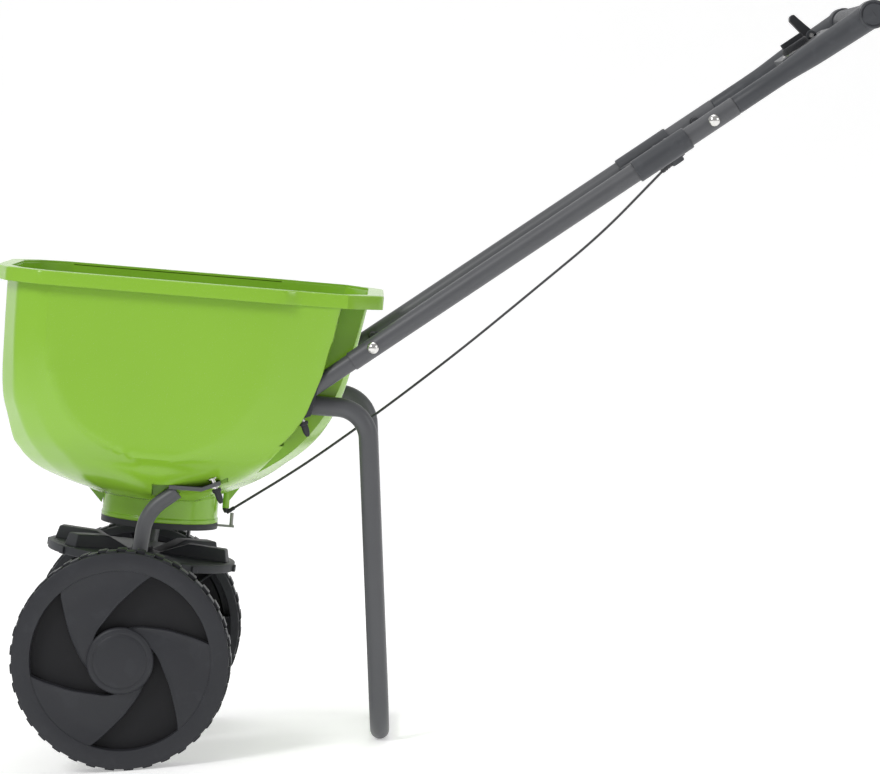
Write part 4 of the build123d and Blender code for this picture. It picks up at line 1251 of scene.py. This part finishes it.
# ------------------------------------------------------------------ brackets, stand and sockets
@dataclass
class Undercarriage:
    """Axle brackets with their bolts, the stand and the sockets' cap nuts."""

    layout: Layout
    bracket_y: float = 146.0
    tube_radius: float = 10.0
    bend: float = 58.0
    stand_y: float = 139.0
    stand_radius: float = 12.5
    stand_wall: float = 1.3
    stand_bend: float = 42.0
    foot: Point2 = (322.0, 12.5)
    corner_x: float = 337.0

    def build(self) -> None:
        """Make the pieces."""
        for side in Side:
            self.bracket(side)
        self.tab_bolts()
        self.socket_bolts()
        self.stand()

    def bracket(self, side: Side) -> None:
        """One bent tube with an eye round the axle and a flattened tab at its top."""
        seat, y = self.layout.hopper, side.value * self.bracket_y
        corners = [seat.at(0, y, 8), seat.at(15, y, 186), seat.at(52, y, 216)]
        shape = Shape().tube(bent(corners, self.bend), self.tube_radius, steps=40)
        outline = [(42, 219), (84, 219), (108, 229.7), (106.4, 234.2), (84, 224), (42, 224)]
        shape.slab(seat, outline, y - 11, y + 11)
        eye = seat.facing(0, y - 10, 0, Y_AXIS, seat.x)
        shape.lathe(eye, [(7, 0), (13, 0), (14, 1), (14, 19), (13, 20), (7, 20)], 64, loop=True)
        name = f"axle_bracket_{side.word}"
        shape.piece(f"{name}_tube", Body.FRAME, TUBE, name, smooth=40)

    def tab_bolts(self) -> None:
        """The bolts through the bracket tabs, with their conical caps."""
        frame = self.layout.hopper.raised(99, 230.68, 24)
        bolts, caps = Shape(), Shape()
        for side in Side:
            under = Fastener.seat(frame, 0, side.value * self.bracket_y, 0, -frame.z)
            Fastener.shank(bolts, under, 5.0, 14)
            washer = [(0, 5.1), (6.2, 5.1), (6.2, 6.2), (0, 6.2)]
            bolts.lathe(under, washer, 32)
            cap = Fastener.seat(frame, 0, side.value * self.bracket_y, -8, -frame.z)
            caps.lathe(cap, Fastener.cap, 32)
        bolts.piece("tab_bolt_shanks", Body.FRAME, ZINC)
        caps.piece("tab_bolt_caps", Body.FRAME, DARK, "bracket_cap_nuts")

    def socket_bolts(self) -> None:
        """The cap nuts under the frame sockets."""
        frame = self.layout.hopper.raised(205, 324, 23)
        bolts, caps = Shape(), Shape()
        for side in Side:
            under = Fastener.seat(frame, 0, side.value * 165, 0, -frame.z)
            Fastener.shank(bolts, under, -2, 6)
            cap = Fastener.seat(frame, 0, side.value * 165, -4.5, -frame.z)
            caps.lathe(cap, Fastener.cap, 32)
        bolts.piece("socket_bolt_shanks", Body.FRAME, ZINC)
        caps.piece("socket_bolt_caps", Body.FRAME, DARK, "socket_cap_nuts")

    def stand(self) -> None:
        """The U-shaped stand of bent tube."""
        top = self.layout.hopper.at(176, 0, 340.5)
        drop = math.tan(math.radians(self.layout.lean))
        corner_z = top.z - (self.corner_x * MM - top.x) * drop
        corners = []
        for side in Side:
            y = side.value * self.stand_y * MM
            leg = [Vector((top.x, y, top.z)), Vector((self.corner_x * MM, y, corner_z)),
                   Vector((self.foot[0] * MM, y, self.foot[1] * MM))]
            corners += leg if side is Side.LEFT else leg[::-1]
        path = bent(corners, self.stand_bend, 14)
        bore = self.stand_radius - self.stand_wall
        tube = Shape().tube(path, self.stand_radius, bore, 40)
        tube.piece("stand_tube", Body.FRAME, TUBE, "stand", smooth=40)


# ------------------------------------------------------------------ handle
@dataclass
class Handle:
    """The tubes, moulded arms, grip, brace and their bolts, in the handle's frame."""

    seat: Seat
    spacing: float = 161.0
    lower_radius: float = 11.0
    middle_radius: float = 12.5
    wall: float = 1.3
    lower_run: Point2 = (-104.8, 28.0)
    middle_run: Point2 = (-33.0, 557.0)
    bolt_places: Point2 = (0.0, 523.0)
    grip_place: float = 766.0
    grip_radius: float = 15.5
    end_radius: float = 18.5
    end_width: float = 36.0
    swell: tuple = ((557.3, 11.6), (558.4, 12.2), (612, 12.2), (628, 12.4), (640, 12.9), (655, 13.9),
                    (672, 15.0), (690, 15.6), (715, 16.1), (740, 16.7), (760, 17.1), (767, 17.2))
    brace_run: Point2 = (404.0, 484.0)
    arch_top: float = 446.0
    slot_place: Point2 = (466.0, 118.0)

    def build(self) -> None:
        """Make the pieces."""
        for side in Side:
            self.tubes(side)
            self.arm(side)
        self.grip()
        self.bolts()
        self.brace()

    def run(self, side: Side, start: float, end: float, count: int = 2) -> list[Vector]:
        """Points along one side of the handle."""
        y = side.value * self.spacing
        return lined(self.seat.at(start, y, 0), self.seat.at(end, y, 0), count)

    def tubes(self, side: Side) -> None:
        """One side's lower and middle tubes."""
        low, mid = self.lower_radius, self.middle_radius
        lower = Shape().tube(self.run(side, *self.lower_run), low, low - self.wall, 48)
        lower.piece(f"lower_tube_{side.word}", Body.FRAME, TUBE, f"lower_handle_tube_{side.word}", bevel=0.3)
        start, end = self.middle_run
        path = [self.run(side, s, s)[0] for s in (start, start + 0.6, end - 0.6, end)]
        middle = Shape().tube(path, [mid - 0.5, mid, mid, mid - 0.5], low + 0.2, 48)
        middle.piece(f"middle_tube_{side.word}", Body.FRAME, TUBE, f"middle_handle_tube_{side.word}")

    def arm(self, side: Side) -> None:
        """One moulded arm that swells towards the grip's end cylinder."""
        path = [self.run(side, s, s)[0] for s, _ in self.swell]
        shape = Shape().tube(path, [r for _, r in self.swell], steps=56)
        half, r = self.end_width / 2, self.end_radius
        outwards = Y_AXIS * side.value
        end = self.seat.facing(self.grip_place, side.value * self.spacing, 0, outwards, self.seat.x)
        outline = [(0, half - 1.6), (9, half - 1.4), (13.6, half - 1.2), (14.2, half - 2.2),
                   (15.0, half - 2.2), (15.6, half - 0.8), (16.6, half), (17.6, half - 0.4),
                   (r, half - 1.6), (r, 2 - half), (r - 1.2, -half), (0, -half)]
        shape.lathe(end, outline, 72)
        name = f"upper_arm_{side.word}"
        shape.piece(f"{name}_moulding", Body.FRAME, GRIP, name, smooth=34)

    def grip(self) -> None:
        """The round grip bar with fine grooves along its middle."""
        half = self.spacing - self.end_width / 2 - 0.3
        r = self.grip_radius
        outline: list[Point2] = [(0, -half), (r - 0.8, -half), (r, 1.2 - half)]
        bands = 22
        for k in range(bands + 1):
            place = -110 + 220 * k / bands
            outline += [(r, place - 1.4), (r - 0.5, place - 0.9), (r - 0.5, place + 0.9), (r, place + 1.4)]
        outline += [(r, half - 1.2), (r - 0.8, half), (0, half)]
        middle = self.seat.facing(self.grip_place, 0, 0, Y_AXIS, self.seat.x)
        Shape().lathe(middle, outline, 64).piece("grip_sleeve", Body.FRAME, GRIP, "grip_bar", smooth=30)

    def bolts(self) -> None:
        """The domed bolts outside and the cap nuts inside."""
        domes, nuts = Shape(), Shape()
        for side in Side:
            out = Y_AXIS * side.value
            for place in self.bolt_places:
                y = side.value * self.spacing
                outside = self.seat.facing(place, y + side.value * self.middle_radius, 0, out, self.seat.x)
                inside = self.seat.facing(place, y - side.value * self.middle_radius, 0, -out, self.seat.x)
                domes.lathe(outside, [*Fastener.dome[:-1], (7.0, -0.8), (0, -0.8)], 40)
                nuts.lathe(inside, Fastener.nut, 32)
        domes.piece("handle_bolt_domes", Body.FRAME, ZINC, "handle_bolts")
        nuts.piece("handle_nut_caps", Body.FRAME, DARK, "handle_nuts")

    def brace(self) -> None:
        """The cross brace: arched web with a thick edge, sleeves, slots and cable boss."""
        start, end = self.brace_run
        middle, inner = self.arch_top, self.spacing - 14
        slot_x, slot_y = self.slot_place
        arch: list[Point2] = []
        for k in range(25):
            y = inner - 2 * inner * k / 24
            arch.append((middle - (middle - start) * (y / inner) ** 2, y))
        outline = [(end, -self.spacing), (end, self.spacing), (start, self.spacing), *arch,
                   (start, -self.spacing)]
        web = Shape().prism(self.seat, outline, -2, 2).solid("cross_brace_web")
        slots = Shape()
        for side in Side:
            line = [(slot_x + x, side.value * slot_y + y) for x, y in rounded_box(7, 15, 3)]
            slots.prism(self.seat, line, -6, 6)
        combine(web, slots.solid("slot_space"), "DIFFERENCE")
        dress(web, Body.FRAME, GRIP, "cross_brace", bevel=0.7)
        lip = [self.seat.at(x + 1.5, y, 0) for x, y in arch]
        edges = Shape().tube(lip, 3.4, steps=20)
        edges.tube([self.seat.at(end - 2, y, 0) for y in (-inner, inner)], 3.0, steps=20)
        for side in Side:
            line = rounded_box(10.5, 18.5, 5)
            hole = [(x * 7 / 10.5, y * 15 / 18.5) for x, y in line]
            for low, high in ((1.6, 4.2), (-4.2, -1.6)):
                rows = []
                for plan, height in ((line, low), (line, high), (hole, high), (hole, low)):
                    rows.append([self.seat.at(slot_x + x, side.value * slot_y + y, height) for x, y in plan])
                edges.skin(rows, loop=True)
        edges.piece("cross_brace_edges", Body.FRAME, GRIP, smooth=40)
        sleeves = Shape()
        for side in Side:
            radii = [14.2, 15.05, 15.05, 14.2]
            path = [self.run(side, s, s)[0] for s in (start, start + 1.2, end - 1.2, end)]
            sleeves.tube(path, radii, self.middle_radius + 0.05, 56)
        sleeves.piece("cross_brace_sleeves", Body.FRAME, GRIP, smooth=34)
        boss = self.seat.facing(slot_x, 0, 0, self.seat.z, self.seat.x)
        outline = [(0, 2.6), (7, 2.6), (9, 1.2), (9, -27), (8, -28.6), (0, -28.6)]
        Shape().lathe(boss, outline, 48).piece("cross_brace_boss", Body.FRAME, GRIP)


# ------------------------------------------------------------------ console, dial, lever
@dataclass
class Console:
    """The control console between the arms, with its dial and gate lever."""

    seat: Seat
    start: float = 648.0
    end: float = 726.0
    half_width: float = 62.0
    bottom: float = -9.0
    top: float = 11.0
    arm_y: float = 161.0
    dial_place: Point2 = (676.0, -20.0)
    lever_place: Point2 = (706.0, 34.0)
    pivot_height: float = 14.0
    ridges: int = 36

    def build(self) -> None:
        """Make the pieces."""
        self.housing()
        self.dial()
        self.lever()

    def housing(self) -> None:
        """The rounded box with its side wings."""
        middle, length = (self.start + self.end) / 2, self.end - self.start
        line = [(middle + x, y) for x, y in rounded_box(length / 2, self.half_width, 10)]
        box = Shape().prism(self.seat, line, self.bottom, self.top).solid("console_box")
        slot = Shape()
        x, y = self.lever_place
        slot.prism(self.seat, [(x + a, y + b) for a, b in rounded_box(14, 10, 2)], self.top - 8, self.top + 2)
        combine(box, slot.solid("lever_slot"), "DIFFERENCE")
        dress(box, Body.FRAME, GRIP, "console_housing", bevel=1.6)
        wings = Shape()
        for side in Side:
            inner, outer = side.value * (self.half_width - 3), side.value * (self.arm_y - 12)
            wings.prism(self.seat, [(self.start + 4, inner), (self.end - 4, inner), (self.end + 14, outer),
                                    (self.start + 34, outer)], -3, 3)
        for share in (-1, 1):
            ear = self.seat.facing(x, y + share * 12, self.pivot_height, Y_AXIS, self.seat.x)
            wings.lathe(ear, [(3.05, -2), (6.4, -2), (7, -1.4), (7, 1.4), (6.4, 2), (3.05, 2)], 40, loop=True)
            wings.slab(self.seat, [(x - 7, self.top - 2), (x + 7, self.top - 2), (x + 6, self.pivot_height),
                                   (x + 3.2, self.pivot_height - 1), (x - 3.2, self.pivot_height - 1),
                                   (x - 6, self.pivot_height)], y + share * 10, y + share * 14)
        wings.piece("console_wings", Body.FRAME, GRIP, bevel=0.5)

    def dial(self) -> None:
        """The round dial with a bright ring, a knurled edge and a raised bar."""
        x, y = self.dial_place
        seat = self.seat.facing(x, y, self.top + 0.3, self.seat.z, self.seat.x)
        body = Shape()
        outline: list[Point2] = [(0, 0), (18.4, 0), (19, 0.6), (19, 6.6), (18, 8.4), (16.5, 9), (0, 9)]
        body.lathe(seat, outline, 72)
        body.prism(seat, rounded_box(16, 3.5, 3), 8, 15.7)
        ridge = ((-0.6, -0.8), (0.25, -0.5), (0.25, 0.5), (-0.6, 0.8))
        for k in range(self.ridges):
            turn = 360 / self.ridges * k
            px, py = polar(18.9, turn)
            c, s = polar(1.0, turn)
            body.prism(seat, [(px + c * a - s * b, py + s * a + c * b) for a, b in ridge], 1.0, 6.8)
        body.piece("rate_dial_knob", Body.DIAL, DARK, "rate_dial", bevel=0.3)
        ring = [(19.2, -0.25), (22.0, -0.25), (22.0, 0.35), (19.2, 0.9)]
        Shape().lathe(seat, ring, 72, loop=True).piece("rate_dial_ring", Body.FRAME, ZINC)

    def lever(self) -> None:
        """The gate lever: a tapered blade with a rounded grip at its top."""
        x, y = self.lever_place
        p = self.pivot_height
        corners = [(x - 6.5, p - 5), (x - 13.5, p + 31), (x - 10, p + 36), (x - 4, p + 36.4),
                   (x + 1, p + 18), (x + 6.5, p)]
        blade = Shape().slab(self.seat, rounded(corners, [5, 3, 4, 3, 12, 5]), y - 9, y + 9)
        blade.piece("gate_lever_blade", Body.LEVER, DARK, "gate_lever", bevel=1.4)


# ------------------------------------------------------------------ cable
@dataclass
class Cable:
    """The control cable from the gate's plug, past the brace and into the console."""

    layout: Layout
    radius: float = 1.7
    brace_place: float = 466.0
    drop: float = 20.0
    rise: float = 12.2
    lead: float = 135.0
    slack: tuple = ((118.5, 183.5), (207, 248), (300, 326), (400, 416), (500, 513))
    end: float = 650.0

    def build(self) -> None:
        """Make the cable and its boot."""
        hopper, handle = self.layout.hopper, self.layout.handle
        slope = math.tan(math.radians(self.rise))
        low = handle.at(self.brace_place - self.lead, 0, -self.drop - self.lead * slope)
        corners = [hopper.at(x, 0, z) for x, z in self.slack]
        corners += [low, handle.at(self.brace_place + self.drop / slope, 0, 0), handle.at(self.end, 0, 0)]
        path = bent(corners, None, 20)
        sheath = Shape().tube(path, self.radius, steps=16)
        sheath.piece("cable_sheath", Body.FRAME, JACKET, "cable", smooth=60)
        boot = handle.raised(self.brace_place, -self.drop, self.rise)
        along = boot.facing(0, 0, 0, -boot.x, Y_AXIS)
        outline: list[Point2] = [(1.75, -12), (6, -12), (6, 3), (5.6, 4.5)]
        for k in range(5):
            r, z = 5.4 - 0.42 * k, 6 + 4 * k
            outline += [(r, z), (r, z + 1.8), (r - 0.8, z + 2.2), (r - 0.8, z + 3.6)]
        outline += [(3.2, 26), (1.75, 26)]
        ribbed = Shape().lathe(along, outline, 40, loop=True)
        ribbed.piece("cable_boot_ribbed", Body.FRAME, JACKET, "cable_boot")


# ------------------------------------------------------------------ CAD pieces that stay
@dataclass
class KeptPieces:
    """CAD nodes that stay as they are, each with its finish."""

    nodes: dict
    finishes: tuple = (
        (ZINC, ("axle", "spinner_shaft", "lever_pin", "bracket_bolts", "socket_bolts")),
        (DARK, ("axle_bushes", "base_plate", "boss_plug", "gearbox_housing", "gearbox_cover",
                "frame_socket_left", "frame_socket_right")),
        (NYLON, ("crown_gear", "pinion", "agitator", "gate_plate")),
    )

    def build(self) -> None:
        """Give each kept node its material."""
        for finish, names in self.finishes:
            for name in names:
                materials = self.nodes[name].data.materials
                materials.clear()
                materials.append(Palette.of(finish))
                LOG.info("%s: kept with %s", name, finish.name)


# ------------------------------------------------------------------ studio
@dataclass
class Studio:
    """Floor, light and camera."""

    camera_place: tuple = (0.3727, -5.2753, 0.7770)
    camera_yaw: float = -0.668
    camera_pitch: float = -3.592
    camera_roll: float = -4.2
    lens: float = 163.64
    sensor: float = 36.0
    floor_half: float = 9.0
    floor_curve: float = 3.0
    sky_strength: float = 0.42

    def build(self) -> None:
        """Set up the stage."""
        self.floor()
        self.lights()
        self.camera()

    def floor(self) -> None:
        """A pale floor that curves up far behind the object."""
        half, curve = self.floor_half, self.floor_curve
        profile = [(-half, 0.0), (-curve, 0.0), (curve, 0.0)]
        for angle in range(6, 91, 6):
            x, y = polar(curve, angle)
            profile.append((curve + y, curve - x))
        profile.append((2 * curve, half))
        rows = [[Vector((x, y, z)) for x in (-half, 0.0, half)] for y, z in profile]
        obj = Shape().skin(rows, ring=False).solid("studio_floor")
        obj.data.shade_smooth()
        obj.data.materials.append(Palette.of(PaleFloor()))

    def lights(self) -> None:
        """Soft daylight from all round, with a large lamp above the front and one behind."""
        world = bpy.data.worlds.new("studio_world")
        bpy.context.scene.world = world
        world.use_nodes = True
        sky = world.node_tree.nodes["Background"]
        sky.inputs["Color"].default_value = (1.0, 1.0, 1.0, 1.0)
        sky.inputs["Strength"].default_value = self.sky_strength
        for name, place, aim, size, power in (
            ("key_lamp", (-2.2, -2.6, 3.4), (0.2, 0.0, 0.4), 1.6, 78.0),
            ("top_lamp", (0.6, 0.4, 3.6), (0.3, 0.0, 0.4), 2.2, 34.0),
            ("side_lamp", (3.4, -1.4, 1.6), (0.3, 0.0, 0.4), 1.2, 14.0),
        ):
            lamp = bpy.data.lights.new(name, "AREA")
            lamp.shape, lamp.size, lamp.energy = "DISK", size, power
            obj = bpy.data.objects.new(name, lamp)
            bpy.context.scene.collection.objects.link(obj)
            obj.location = place
            obj.rotation_euler = (Vector(aim) - Vector(place)).to_track_quat("-Z", "Y").to_euler()

    def camera(self) -> None:
        """The camera, a little above the hopper's height and looking down slightly."""
        data = bpy.data.cameras.new("studio_camera")
        data.lens, data.sensor_width, data.sensor_fit = self.lens, self.sensor, "HORIZONTAL"
        data.clip_end = 50.0
        obj = bpy.data.objects.new("studio_camera", data)
        bpy.context.scene.collection.objects.link(obj)
        turn = Matrix.Rotation(math.radians(self.camera_yaw), 4, "Z")
        tip = Matrix.Rotation(math.radians(90 + self.camera_pitch), 4, "X")
        roll = Matrix.Rotation(math.radians(self.camera_roll), 4, "Z")
        obj.matrix_world = Matrix.Translation(self.camera_place) @ turn @ tip @ roll
        bpy.context.scene.camera = obj
        settings = bpy.context.scene.view_settings
        settings.view_transform = "Standard"


def main() -> None:
    """Build the whole scene round the frame."""
    logging.basicConfig(level=logging.INFO, format="%(name)s %(message)s")
    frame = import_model()
    layout = Layout()
    ring = RadialRepeat("radial_repeat")
    Hopper(layout.hopper).build()
    for side in Side:
        Wheel(side, layout.wheel(side), ring).build()
    Spinner(layout.shaft, ring).build()
    Undercarriage(layout).build()
    Handle(layout.handle).build()
    Console(layout.handle).build()
    Cable(layout).build()
    KeptPieces(frame["nodes"]).build()
    Studio().build()


if __name__ == "__main__":
    main()
